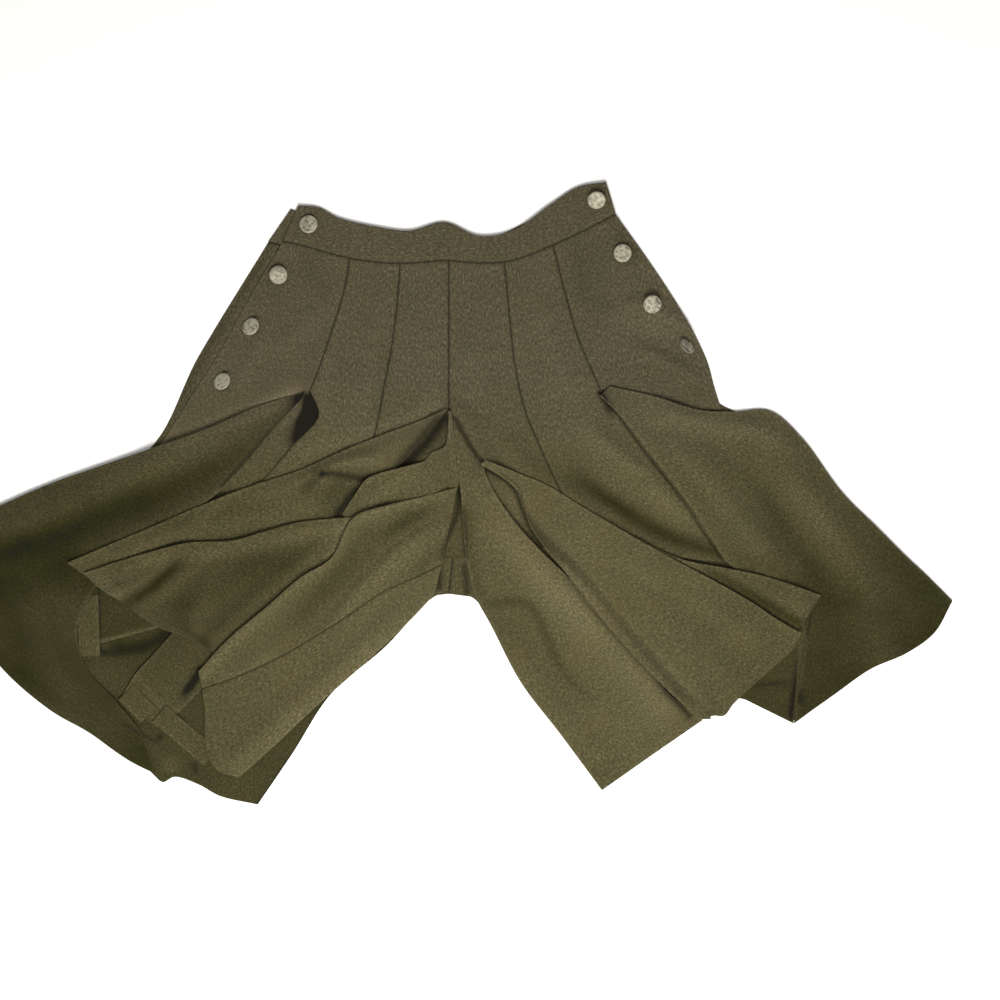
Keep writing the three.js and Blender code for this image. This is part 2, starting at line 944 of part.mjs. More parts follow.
const table = () => 0;
layLayer([backLeft, backRight, backBand], table);
layLayer([...pleatUnderlays, riseFront, ...riseBack, ...hemLeaves, underPleatRight]);
layLayer([...hemTurnUps, legLeafRight]);
layLayer([legFlapRight]);
layLayer([frontBand, ...frontPanels]);
layLayer([flareLeft, flareRight]);
layLayer([flapRightUnder, flapLeft1]);
layLayer([flapRight]);
layLayer([flapLeft1b], supportNow(closeReach));
layLayer([flapLeft2]);
layLayer([flapLeft3, flapLeft3Inner]);

// Buttons down both sides, from the waistband to the end of each side opening. Some hang over on
// their shanks: lean is how far a face rises for each millimetre along X and Y.
const buttonRows = {
  left: [
    { at: [-159, 309], lean: [0.1, -0.1] },
    { at: [-194, 251], lean: [0, 0.05] },
    { at: [-225, 191], lean: [0.4, -0.32] },
    { at: [-258, 128], lean: [0.42, -0.4] },
  ],
  right: [
    { at: [172, 337], lean: [0, 0.4] },
    { at: [202, 276], lean: [0, 0] },
    { at: [236, 217], lean: [0, 0.3] },
    { at: [275, 168], lean: [-0.95, -0.95] },
  ],
};

function buttonGeometry() {
  const radius = buttonDiameter / 2;
  const rim = buttonHeight * 0.75;
  const profile = [
    [0, 0],
    [radius * 0.8, 0],
    [radius, rim * 0.5],
    [radius * 0.93, rim],
    [radius * 0.72, rim * 0.86],
    [0, buttonHeight],
  ];
  const points = profile.map(([r, y]) => new THREE.Vector2(r, y));
  const geometry = new THREE.LatheGeometry(points, buttonSides);
  geometry.rotateX(Math.PI / 2);
  return geometry;
}

// A button rests on the cloth under it, tilted as that cloth is and by its own lean.
function seatButton(button, { at: [x, y], lean }) {
  const heightAt = (px, py) => {
    const column = Math.round((px - mapMin.x) / mapPitch);
    const row = Math.round((py - mapMin.y) / mapPitch);
    return highest[row * mapSize.x + column];
  };
  const span = buttonDiameter / 2;
  const slopeX = lean[0] + (heightAt(x + span, y) - heightAt(x - span, y)) / buttonDiameter;
  const slopeY = lean[1] + (heightAt(x, y + span) - heightAt(x, y - span)) / buttonDiameter;
  const upright = new THREE.Vector3(0, 0, 1);
  const normal = new THREE.Vector3(-slopeX, -slopeY, 1).normalize();
  button.quaternion.setFromUnitVectors(upright, normal);
  const point = new THREE.Vector3();
  const places = button.geometry.attributes.position;
  let lift = 0;
  for (let k = 0; k < places.count; k += 1) {
    point.fromBufferAttribute(places, k).applyQuaternion(button.quaternion);
    lift = Math.max(lift, heightAt(x + point.x, y + point.y) - point.z);
  }
  button.position.set(x, y, lift + seamGap);
}

for (const [side, places] of Object.entries(buttonRows)) {
  places.forEach((place, k) => {
    const button = addMesh(`button_${side}_${k + 1}`, buttonGeometry(), pewter);
    seatButton(button, place);
  });
}

export default skort;
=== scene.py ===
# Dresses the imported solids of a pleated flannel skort, laid flat with its front up.
#
# Tables are in millimetres: X across the garment, Y from the hems to the waist, Z up from the
# table. Meshes are written in metres. Each sheet of cloth is a table of sections, laid layer
# after layer on a map of the highest cloth so far.
import math

import bpy
import numpy as np
from mathutils import Matrix, Vector


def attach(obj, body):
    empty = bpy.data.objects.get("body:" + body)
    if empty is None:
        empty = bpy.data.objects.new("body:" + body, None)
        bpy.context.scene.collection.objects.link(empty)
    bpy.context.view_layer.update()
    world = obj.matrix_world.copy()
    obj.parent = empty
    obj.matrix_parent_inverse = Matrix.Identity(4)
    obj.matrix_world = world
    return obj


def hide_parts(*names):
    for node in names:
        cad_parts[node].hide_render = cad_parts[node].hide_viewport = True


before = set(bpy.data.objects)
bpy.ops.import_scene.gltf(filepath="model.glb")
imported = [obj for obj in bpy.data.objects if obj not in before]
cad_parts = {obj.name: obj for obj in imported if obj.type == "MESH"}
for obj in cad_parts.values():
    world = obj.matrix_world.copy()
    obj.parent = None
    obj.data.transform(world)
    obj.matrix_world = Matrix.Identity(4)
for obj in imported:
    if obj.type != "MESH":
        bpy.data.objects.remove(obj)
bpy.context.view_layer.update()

print("frame loaded:", len(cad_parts), "nodes")

# How the cloth is cut, folded and laid, in millimetres.
laying = {
    "cloth": 1.0,  # thickness of the flannel, pressed by its own weight
    "bandCloth": 2.1,  # the waistband, turned double
    "seamGap": 0.3,  # between two pieces sewn edge to edge, and between two layers
    "bendInside": 0.2,  # inside radius where the cloth is folded over
    "bendSteps": 7,  # faces round a fold
    "settle": 30,  # how far the upper leaf of a fold takes to come down
    "puff": 0.22,  # by what share a fold is fuller in some places
    "puffSize": 70,
    "leastPuff": 0.75,
    "cell": 2.9,  # side of a face
    "edgeSteps": (1.0, 2.6),  # the two finer rows along each edge
    "reach": 5,  # a sheet clears what lies this close
    "soften": 6,  # and comes down over about this distance
    "seamDip": 0.85,  # depth of the groove along a seam
    "seamReach": 1.7,  # and half its width
    "edgeDip": 0.45,  # rounding of a cut or turned edge
    "edgeReach": 1.5,
    "pucker": 0.45,  # height of the puckers beside a seam
    "puckerSize": 9,
    "puckerReach": 8,
    "mostDip": 0.75,  # no groove is deeper than this share of the thickness
    "rim": 0.34,  # how round a free edge is, as a share of the thickness
    "sewnRim": 0.12,
    "seamDark": 0.8,  # how deep a seam's shadow is, from 0 to 1
    "seamWidth": 0.95,  # and half its width
    "hemDepth": 24,  # the turn-up inside each hem
    "hemRise": 0.9,  # and how far it shows through
    "wave": 0.9,  # height of the cloth's slow unevenness
    "waveSize": 74,
    "ripple": 0.3,  # and of its small one
    "rippleSize": 19,
    "edgeTone": 0.38,  # painted highlight: how much paler the colour is made along a folded edge
    "cutShare": 0.6,  # how much of that a cut edge has
    "edgeWidth": 3.5,
    "creaseTone": 0.045,  # painted shade and highlight: how much a millimetre of a crease changes the tone
    "mottle": ((0.07, 34, 21), (0.05, 15, 22)),  # strength, size and seed of the tone's patches
}
bendOutside = laying["bendInside"] + laying["cloth"]
leafRise = laying["bendInside"] + bendOutside
halfGap = laying["seamGap"] / 2

mapPitch = 2.5
mapMin = (-640.0, -420.0)
mapShape = (337, 513)
highest = np.zeros(mapShape)
farAway = 999  # longer than any sheet
noEdge = 99  # so far from an edge that it makes no difference
cut = []


def smoothstep(x, low, high):
    t = np.clip((x - low) / (high - low), 0, 1)
    return t * t * (3 - 2 * t)


# Value noise from -1 to 1 with grains of the given size, always the same for one seed.
def unevenness(x, y, size, seed):
    grid = np.random.default_rng(seed).uniform(-1, 1, (64, 64))
    px, py = np.asarray(x) / size + 31.3, np.asarray(y) / size + 17.7
    i, j = np.floor(px).astype(int), np.floor(py).astype(int)
    u, v = px - i, py - j
    u, v = u * u * (3 - 2 * u), v * v * (3 - 2 * v)
    at = lambda dx, dy: grid[(j + dy) % 64, (i + dx) % 64]
    low = at(0, 0) * (1 - u) + at(1, 0) * u
    high = at(0, 1) * (1 - u) + at(1, 1) * u
    return low * (1 - v) + high * v


# Joins each cell of a map with its neighbours within a radius.
def gather(field, radius, join):
    cells = int(radius / mapPitch)
    padded = np.pad(field, cells, mode="edge")
    rows, columns = field.shape
    out, count = None, 0
    for dy in range(-cells, cells + 1):
        for dx in range(-cells, cells + 1):
            if math.hypot(dx, dy) * mapPitch > radius:
                continue
            part = padded[cells + dy : cells + dy + rows, cells + dx : cells + dx + columns]
            out = part.copy() if out is None else join(out, part)
            count += 1
    return out, count


def readMap(field, x, y):
    column = np.clip((x - mapMin[0]) / mapPitch, 0, mapShape[1] - 1.001)
    row = np.clip((y - mapMin[1]) / mapPitch, 0, mapShape[0] - 1.001)
    i, j = column.astype(int), row.astype(int)
    u, v = column - i, row - j
    low = field[j, i] * (1 - u) + field[j, i + 1] * u
    high = field[j + 1, i] * (1 - u) + field[j + 1, i + 1] * u
    return low * (1 - v) + high * v


# The smooth surface that the next layer rests on.
def supportNow():
    spread, _ = gather(highest, laying["reach"] + laying["soften"], np.maximum)
    total, count = gather(spread, laying["soften"], np.add)
    return total / count + laying["seamGap"]


# Heights of a grid of points, sampled finely enough for the map, with the cells they are over.
def overCells(grid):
    steps = 3
    points = []
    for i in range(steps):
        for k in range(steps):
            u, v = i / steps, k / steps
            points.append(
                (grid[:-1, :-1] * (1 - u) + grid[1:, :-1] * u) * (1 - v)
                + (grid[:-1, 1:] * (1 - u) + grid[1:, 1:] * u) * v
            )
    points += [grid[-1:, :], grid[:, -1:]]
    flat = np.concatenate([p.reshape(-1, 3) for p in points])
    column = np.rint((flat[:, 0] - mapMin[0]) / mapPitch).astype(int)
    row = np.rint((flat[:, 1] - mapMin[1]) / mapPitch).astype(int)
    return np.clip(row, 0, mapShape[0] - 1), np.clip(column, 0, mapShape[1] - 1), flat[:, 2]


# A smooth line through points, with a corner at each listed station.
def lineThrough(points, corners=()):
    points = np.array(points, float)
    last = len(points) - 1
    stops = [0, *corners, last]
    terms = np.zeros((last, 4, 2))
    for first, final in zip(stops, stops[1:]):
        run = points[first : final + 1]
        run = np.vstack([2 * run[0] - run[1], run, 2 * run[-1] - run[-2]])
        for k in range(final - first):
            p0, p1, p2, p3 = run[k : k + 4]
            d0, d1, d2 = (
                math.sqrt(max(math.dist(p, q), 1e-4)) for p, q in ((p0, p1), (p1, p2), (p2, p3))
            )
            t1 = ((p1 - p0) / d0 - (p2 - p0) / (d0 + d1) + (p2 - p1) / d1) * d1
            t2 = ((p2 - p1) / d1 - (p3 - p1) / (d1 + d2) + (p3 - p2) / d2) * d1
            terms[first + k] = (p1, t1, 3 * (p2 - p1) - 2 * t1 - t2, 2 * (p1 - p2) + t1 + t2)

    def at(station):
        station = np.clip(np.asarray(station, float), 0, last)
        k = np.minimum(station.astype(int), last - 1)
        t = (station - k)[..., None]
        c = terms[k]
        return c[..., 0, :] + t * (c[..., 1, :] + t * (c[..., 2, :] + t * c[..., 3, :]))

    return at


# How a stroke fades at its two ends, as shares of its length; None ends it rounded, at full height.
soft, opens, sharp = (0.3, 0.3), (0.3, None), (None, None)


# Soft ridges and troughs along short strokes. A stroke is its height, its width, its fade and the
# points of its line; a positive height stands up, a negative one sinks. The same strokes give the
# painted shade of a sheet's shades, lighter where negative, and the painted shadow of its gaps.
def strokeHeight(x, y, strokes):
    height = np.zeros_like(x)
    for high, wide, (fadeIn, fadeOut), *line in strokes:
        line = np.array(line, float)
        if len(line) > 2:
            line = lineThrough(line)(np.linspace(0, len(line) - 1, 4 * len(line)))
        spans = np.diff(line, axis=0)
        lengths = np.hypot(spans[:, 0], spans[:, 1])
        starts = np.concatenate([[0], np.cumsum(lengths)])
        near = np.full(x.shape, np.inf)
        along = np.zeros_like(x)
        beyond = [0 if fade is None else farAway for fade in (fadeIn, fadeOut)]
        for k, (dx, dy) in enumerate(spans):
            t = ((x - line[k, 0]) * dx + (y - line[k, 1]) * dy) / lengths[k] ** 2
            least = 0 if k else -beyond[0] / lengths[0]
            most = 1 if k < len(spans) - 1 else 1 + beyond[1] / lengths[-1]
            t = np.clip(t, least, most)
            away = np.hypot(x - line[k, 0] - t * dx, y - line[k, 1] - t * dy)
            closer = away < near
            near = np.where(closer, away, near)
            along = np.where(closer, starts[k] + t * lengths[k], along)
        total = starts[-1]
        ends = np.ones_like(x)
        if fadeIn is not None:
            ends *= smoothstep(along, -0.1 * total, fadeIn * total)
        if fadeOut is not None:
            ends *= 1 - smoothstep(along, (1 - fadeOut) * total, 1.1 * total)
        height += high * ends * np.exp(-((near / wide) ** 2))
    return height


# Shares from 0 to 1 with finer steps at both ends, for a stretch of the given length.
def shares(length, cell):
    first, second = laying["edgeSteps"]
    count = max(1, math.ceil((length - 2 * second) / cell))
    inside = np.linspace(second, length - second, count + 1)
    return np.array([0, first, *inside, length - first, length]) / length


# Where the rows of a sheet lie on its two side lines, and how far down it each row is.
def sheetRows(sheet, lineA, lineB, cell):
    spans = len(sheet["sections"]) - 1
    fine = np.linspace(0, spans, spans * 30 + 1)
    step = lambda line: np.hypot(*np.diff(line(fine), axis=0).T)
    run = np.concatenate([[0], np.cumsum(np.maximum(step(lineA), step(lineB)))])
    stations = np.interp(shares(run[-1], cell) * run[-1], run, fine)
    for corner in sorted({*sheet.get("cornersA", ()), *sheet.get("cornersB", ())}):
        stations[np.argmin(abs(stations - corner))] = corner
    return stations, np.interp(stations, fine, run)[:, None]


# The leaf that a fold turns under and its bend: how far in from the edge and how high each
# column is, on the outer and on the inner side.
def foldColumns(leaf, cell, wall):
    flat = max(2, math.ceil(float(leaf.max()) / cell))
    outer, inner = [], []
    for k in range(flat):
        place = bendOutside + leaf * (1 - k / flat)
        outer.append((place, 0 * place))
        inner.append((place, 0 * place + wall))
    for k in range(laying["bendSteps"]):
        angle = -math.pi / 2 - math.pi * k / laying["bendSteps"]
        for ring, radius in ((outer, bendOutside), (inner, laying["bendInside"])):
            place = bendOutside + radius * math.cos(angle) + 0 * leaf
            ring.append((place, bendOutside + radius * math.sin(angle) + 0 * leaf))
    stack = lambda ring, which: np.hstack([point[which] for point in ring])
    return [stack(ring, which) for ring in (outer, inner) for which in (0, 1)]


# The columns of a sheet across its width: places and heights of the outer and the inner side,
# which of them make the upper face, and how far they are from an edge that isn't folded.
def sheetColumns(sheet, width, cell, wall):
    foldA, foldB = sheet.get("foldA", 0), sheet.get("foldB", 0)
    room = 0.45 * (width - 2 * bendOutside) if foldA and foldB else 0.8 * (width - bendOutside)
    leafA, leafB = np.minimum(foldA, room), np.minimum(foldB, room)
    start = bendOutside if foldA else sheet.get("insetA", 0)
    end = width - (bendOutside if foldB else sheet.get("insetB", 0))
    s = start + (end - start) * shares(float(np.max(end - start)), cell)[None, :]
    comesDown = lambda leaf, away: 1 - smoothstep(away, leaf + 8, leaf + 8 + laying["settle"])
    fromA = comesDown(leafA, s) if foldA else 0 * s
    fromB = comesDown(leafB, width - s) if foldB else 0 * s
    rise = leafRise * np.maximum(fromA, fromB)

    columns = [[s, rise + wall, s, rise]]
    before = after = 0
    if foldA:
        columns.insert(0, foldColumns(leafA, cell, wall))
        before = columns[0][0].shape[1]
    if foldB:
        so, zo, si, zi = (part[:, ::-1] for part in foldColumns(leafB, cell, wall))
        columns.append([width - so, zo, width - si, zi])
        after = so.shape[1]
    padded = lambda part, fill: np.pad(part, ((0, 0), (before, after)), constant_values=fill)
    top = padded(np.ones((1, s.shape[1])), 0)
    toA = padded(np.full_like(s, noEdge) if foldA else s - start, noEdge)
    toB = padded(np.full_like(s, noEdge) if foldB else end - s, noEdge)
    return [np.hstack([c[k] for c in columns]) for k in range(4)], top, toA, toB


# The painted shadow in the seams and gaps of a sheet, and its tone: painted shade and highlight,
# with random patches.
def sheetShading(sheet, x, y, down, top, folds, sides, edges):
    sewn = sheet.get("sewn", "")
    dark = sheet.get("seamDark", laying["seamDark"])
    groove = np.zeros_like(x)
    # painted shadow along each sewn side
    for side, away in sides:
        if side in sewn:
            line = dark * np.exp(-((away / laying["seamWidth"]) ** 2))
            groove = np.maximum(groove, line * top)
    # painted shadow in the gaps and hollows drawn as strokes
    groove = np.maximum(groove, strokeHeight(x, y, sheet.get("gaps", ())) * top)
    # painted shade along the sheet, from its table
    tones = sheet.get("tone", (1, 1))
    tone = np.interp(down / down[-1], np.linspace(0, 1, len(tones)), tones)
    # painted shade in the troughs of its creases and painted highlight on their ridges
    tone = tone + laying["creaseTone"] * folds
    # painted highlight along each free edge, fuller where it is folded
    for side, away, fold in edges:
        if side not in sewn:
            pale = laying["edgeTone"] * np.exp(-((away / laying["edgeWidth"]) ** 2))
            tone += pale * (1 if fold in sheet else laying["cutShare"])
    one, other = (strong * unevenness(x, y, *grain) for strong, *grain in laying["mottle"])
    tone += one + other
    # painted shade of its shade strokes, painted highlight where a stroke is negative
    tone -= strokeHeight(x, y, sheet.get("shades", ()))
    return groove, tone


# The plan, own height and shading of a sheet. Its table may hold, with A or B for the side:
#   sections, pairs of points on sides A and B, and corners, the sections where a side turns
#   fold, the depth of the leaf turned under, and inset, how far the edge stays from its seam
#   sewn, which sides are sewn, with s and e for the first and the last section
#   start and end, the lines that those two sections follow
#   wall and cell, its thickness and face size, and calm, how uneven it lies
#   press and taper, how flat a pleat is pressed and over what length it rises
#   creases, shades and gaps, strokes of its height, its painted shade and highlight, and its
#   painted shadow tone, its painted shade and highlight from start to end
#   hem, if it ends in one, and on, what it rests on
def sheetPlan(sheet):
    wall = sheet.get("wall", laying["cloth"])
    cell = sheet.get("cell", laying["cell"])
    sections = sheet["sections"]
    spans = len(sections) - 1
    lineA = lineThrough([a for a, b in sections], sheet.get("cornersA", ()))
    lineB = lineThrough([b for a, b in sections], sheet.get("cornersB", ()))
    stations, down = sheetRows(sheet, lineA, lineB, cell)
    a, b = lineA(stations), lineB(stations)
    width = np.hypot(*(b - a).T)[:, None]
    across = (b - a) / width
    columns, top, toA, toB = sheetColumns(sheet, width, cell, wall)
    sOuter, zOuter, sInner, zInner = columns

    # a fold is fuller in some places than in others
    if "foldA" in sheet or "foldB" in sheet:
        grain = unevenness(down, 0 * down, laying["puffSize"], len(sheet["name"]))
        puff = np.maximum(1 + laying["puff"] * grain, laying["leastPuff"])
        middle = (zOuter + zInner) / 2
        half = (zOuter - zInner) / 2
        middle = wall / 2 + (middle - wall / 2) * puff
        zOuter, zInner = middle + half, middle - half

    # a pleat lies pressed, and thins away to its start where it runs out of the cloth
    thin = sheet.get("press", 1)
    if "taper" in sheet:
        thin = thin * (0.2 + 0.8 * smoothstep(down, 0.1 * sheet["taper"], sheet["taper"]))
    zOuter, zInner = zOuter * thin, zInner * thin

    v = (stations / spans)[:, None]
    followed = ((sheet.get("start"), 0, (1 - v) ** 3), (sheet.get("end"), spans, v**3))

    def place(s):
        u = np.clip(s / width, 0, 1)
        xy = a[:, None, :] + across[:, None, :] * s[..., None]
        for line, at, weight in followed:
            if line is not None:
                pa, pb = lineA(at), lineB(at)
                straight = pa + (pb - pa) * u[..., None]
                xy = xy + (line(u) - straight) * weight[..., None]
        return xy

    outer, inner = place(sOuter), place(sInner)
    x, y = np.moveaxis((outer + inner) / 2, -1, 0)

    # unevenness and creases, never below the support
    share = np.where(top > 0, 1, np.clip((zOuter + zInner) / 2 / leafRise, 0, 1))
    calm = sheet.get("calm", 1)
    folds = strokeHeight(x, y, sheet.get("creases", ()))
    field = folds + calm * laying["wave"] * unevenness(x, y, laying["waveSize"], 5)
    field += calm * laying["ripple"] * unevenness(x + 0.4 * y, y, laying["rippleSize"], 8)
    field = (field + np.sqrt(field**2 + 1.2)) / 2 * (1 if calm else 0)
    zOuter = zOuter + field * share
    zInner = zInner + field * share

    # grooves and puckers along seams, rounded edges and the turned-up hem
    fromStart = down + 0 * x
    fromEnd = down[-1] - down + 0 * x
    sides = (("a", toA), ("b", toB), ("s", fromStart), ("e", fromEnd))
    dip = np.zeros_like(x)
    for side, away in sides:
        sewn = side in sheet.get("sewn", "")
        kind = "seam" if sewn else "edge"
        depth, reach = laying[kind + "Dip"], laying[kind + "Reach"]
        dip = np.maximum(dip, depth * np.exp(-((away / reach) ** 2)) * top)
        if sewn:
            pucker = unevenness(down + 3 * toA, 0 * down, laying["puckerSize"], 3)
            pucker = laying["pucker"] * np.maximum(pucker, 0)
            zOuter = zOuter + pucker * np.exp(-away / laying["puckerReach"]) * top
    zOuter = zOuter - np.minimum(dip, laying["mostDip"] * (zOuter - zInner))
    if sheet.get("hem"):
        depth = laying["hemDepth"]
        zOuter = zOuter + laying["hemRise"] * (1 - smoothstep(fromEnd, depth - 4, depth + 4)) * top
    edges = (("a", sOuter, "foldA"), ("b", width - sOuter, "foldB"))
    shading = sheetShading(sheet, x, y, down, top, folds, sides, edges)
    return outer, inner, x, y, zOuter, zInner, down, *shading


# Lays a layer of sheets and lets it down until it touches what is under it.
def layLayer(sheets, onTable=False):
    support = np.zeros(mapShape) if onTable else supportNow()
    made = []
    clearance = np.inf
    for sheet in sheets:
        outer, inner, x, y, zOuter, zInner, *rest = sheetPlan(sheet)
        ground = readMap(support, x, y)
        outer = np.dstack([outer, ground + zOuter])
        inner = np.dstack([inner, ground + zInner])
        for grid in (outer, inner):
            row, column, z = overCells(grid)
            clearance = min(clearance, float(np.min(z - highest[row, column])))
        made.append((sheet, outer, inner, *rest))
    drop = 0 if onTable else max(0, clearance - laying["seamGap"])
    for sheet, outer, inner, *rest in made:
        outer[..., 2] -= drop
        inner[..., 2] -= drop
        row, column, z = overCells(outer)
        np.maximum.at(highest, (row, column), z)
        finishSheet(sheet, outer, inner, *rest)
    names = ", ".join(sheet["name"] for sheet in sheets)
    print(f"laid {names}; clearance {clearance:.2f}, top {highest.max():.1f} mm")


def makeMesh(name, points, faces):
    mesh = bpy.data.meshes.new(name)
    mesh.from_pydata(points, [], faces)
    mesh.polygons.foreach_set("use_smooth", np.ones(len(faces), bool))
    mesh.update()
    piece = bpy.data.objects.new(name, mesh)
    bpy.context.scene.collection.objects.link(piece)
    return piece


def addValues(piece, name, values):
    attribute = piece.data.attributes.new(name, "FLOAT", "POINT")
    attribute.data.foreach_set("value", np.array(values, np.float32))


# The closed wall between the two grids, with a rounded rim.
def finishSheet(sheet, outer, inner, down, groove, tone):
    rows, columns = outer.shape[:2]
    wall = sheet.get("wall", laying["cloth"])
    index = np.arange(rows * columns).reshape(rows, columns)
    under = index + rows * columns
    quads = [
        np.stack([index[:-1, :-1], index[1:, :-1], index[1:, 1:], index[:-1, 1:]], -1),
        np.stack([under[:-1, :-1], under[:-1, 1:], under[1:, 1:], under[1:, :-1]], -1),
    ]
    # the rim runs once round the edge, halfway between the two grids and a little outside them
    around = lambda grid, row, column: np.concatenate(
        [grid[row, :], grid[1:, -1 - column], grid[-1 - row, -2::-1], grid[-2:0:-1, column]]
    )
    ring = lambda grid: around(grid, 0, 0)
    edge, below = ring(outer), ring(inner)
    away = edge - around(outer, 1, 1)
    away[:, 2] = 0
    away /= np.maximum(np.hypot(away[:, 0], away[:, 1]), 1e-6)[:, None]
    bulge = laying["sewnRim"] if sheet.get("sewn") else laying["rim"]
    rim = (edge + below) / 2 + away * wall * bulge
    rimIndex = 2 * rows * columns + np.arange(len(rim))
    nextRim = np.roll(rimIndex, -1)
    top, bottom = ring(index), ring(under)
    quads.append(np.stack([top, np.roll(top, -1), nextRim, rimIndex], -1))
    quads.append(np.stack([rimIndex, nextRim, np.roll(bottom, -1), bottom], -1))
    points = np.concatenate([outer.reshape(-1, 3), inner.reshape(-1, 3), rim]) / 1000
    faces = np.concatenate([q.reshape(-1, 4) for q in quads])
    corner = points[faces]
    cone = lambda k: np.einsum("ij,ij->", corner[:, 0], np.cross(corner[:, k], corner[:, k + 1]))
    if cone(1) + cone(2) < 0:
        faces = faces[:, ::-1]

    # where each point lies in the flat cloth, in metres
    middle = (outer + inner) / 2
    stepAcross = np.linalg.norm(np.diff(middle, axis=1), axis=2)
    u = np.hstack([np.zeros((rows, 1)), np.cumsum(stepAcross, axis=1)])
    v = down + 0 * u
    flatPlace = np.stack([u - u.mean(axis=1, keepdims=True), v], -1).reshape(-1, 2) / 1000
    rimPlace = ring(flatPlace.reshape(rows, columns, 2))
    flatPlace = np.concatenate([flatPlace, flatPlace, rimPlace])

    piece = makeMesh(sheet["name"] + "_cloth", points.tolist(), faces.tolist())
    layer = piece.data.uv_layers.new(name="flatCloth")
    corners = np.zeros(len(piece.data.loops), np.int32)
    piece.data.loops.foreach_get("vertex_index", corners)
    layer.data.foreach_set("uv", flatPlace[corners].astype(np.float32).ravel())
    # the painted shadow and the painted shade and highlight, for the material
    for name, values in (("groove", groove), ("tone", tone)):
        addValues(piece, name, np.concatenate([values.ravel(), values.ravel(), ring(values)]))
    piece.data.materials.append(woolFlannel)
    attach(piece, "root")
    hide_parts(sheet["name"])
    width, length = float(u[:, -1].max()) / 1000, float(down[-1, 0]) / 1000
    one, other = middle[1:, 1:] - middle[:-1, :-1], middle[1:, :-1] - middle[:-1, 1:]
    area = float(np.linalg.norm(np.cross(one, other), axis=2).sum()) / 2e6
    area = min(max(area, 0.301 * width * length), width * length)
    cut.append((sheet["name"], width, length, area, len(faces) * 2))


# A waistband that starts on the seam of its panels.
def makeBand(name, table, panels):
    seam = lineThrough([a for a, b in table])
    edge = lineThrough([b for a, b in table])
    fine = np.linspace(0, len(table) - 1, 800)
    seamX = seam(fine)[:, 0]
    along = lambda x: np.interp(x, seamX, fine)
    for panel in panels:
        (firstX, _), (lastX, _) = panel["sections"][0]

        def start(u, xa=firstX, xb=lastX):
            return seam(along(xa + (xb - xa) * u)) - np.array([0, halfGap])

        panel["start"] = start
        panel["sewn"] = panel.get("sewn", "") + "s"
    (leftX, _), (rightX, _) = panels[0]["sections"][0][0], panels[-1]["sections"][0][1]
    places = along(np.linspace(leftX, rightX, 60))
    low, high = seam(places) + np.array([0, halfGap]), edge(places)
    return {
        "name": name, "wall": laying["bandCloth"], "sewn": "a", "sections": list(zip(low, high)),
    }


def alongHem(points):
    line = lineThrough(points)
    return lambda u: line(u * (len(points) - 1))


def toLinear(code):
    parts = [int(code[k : k + 2], 16) / 255 for k in (1, 3, 5)]
    return (*[c / 12.92 if c <= 0.04045 else ((c + 0.055) / 1.055) ** 2.4 for c in parts], 1.0)


# Adds a node with its settings and links, and returns it.
def addNode(tree, kind, inputs=None, **settings):
    node = tree.nodes.new(kind)
    for key, value in settings.items():
        setattr(node, key, value)
    for key, value in (inputs or {}).items():
        if isinstance(value, bpy.types.NodeSocket):
            tree.links.new(value, node.inputs[key])
        else:
            node.inputs[key].default_value = value
    return node


def mixColours(tree, share, under, over, **settings):
    inputs = {0: share, 6: under, 7: over}
    return addNode(tree, "ShaderNodeMix", inputs, data_type="RGBA", **settings).outputs[2]


# A share that grows with a value between two limits.
def mapRange(tree, value, low, high, most=1.0):
    inputs = {"Value": value, "From Min": low, "From Max": high, "To Max": most}
    return addNode(tree, "ShaderNodeMapRange", inputs).outputs["Result"]


def calculate(tree, operation, *values):
    return addNode(
        tree, "ShaderNodeMath", dict(enumerate(values)), operation=operation
    ).outputs["Value"]


def noise(tree, vector, size, detail, rough, twist=0.0):
    inputs = {"Vector": vector, "Scale": 1000 / size, "Detail": detail, "Roughness": rough}
    return addNode(
        tree, "ShaderNodeTexNoise", {**inputs, "Distortion": twist}
    ).outputs["Fac"]


def newMaterial(name):
    material = bpy.data.materials.new(name)
    material.use_nodes = True
    material.node_tree.nodes.clear()
    return material, material.node_tree


# Gives a material its surface.
def addSurface(tree, inputs):
    surface = addNode(tree, "ShaderNodeBsdfPrincipled", inputs).outputs["BSDF"]
    addNode(tree, "ShaderNodeOutputMaterial", {"Surface": surface})


flannel = {
    "shade": "#2b291e",  # fibres in the dips of the nap
    "body": "#443f2e",
    "light": "#655f48",  # pale fibres of the heather
    "brown": "#4d402b",
    "green": "#3b3c27",
    "turned": "#a4a87c",  # painted shade: what the colour is multiplied by where the tone attribute is 0
    "legs": "#fdffe6",  # painted light: the greener cast that the colour below the hips is multiplied by
    "legsTo": (0.02, 0.13),  # metres; from there up to here the painted cast of the legs fades out
    "groove": "#0d0c02",  # painted shadow, mixed in by the groove attribute in seams, gaps and hollows
    "grooveMost": 0.96,
    "fibre": 1.9,  # mm; real fibres are finer, drawn as coarse as they need to show
    "slub": 4.0,  # mm
    "patch": 70,  # mm
    "nap": 0.5,  # mm, height of the raised nap
    "roughness": 0.94,
    "sheen": 0.14,
    "sheenTint": "#b7ad8a",
}


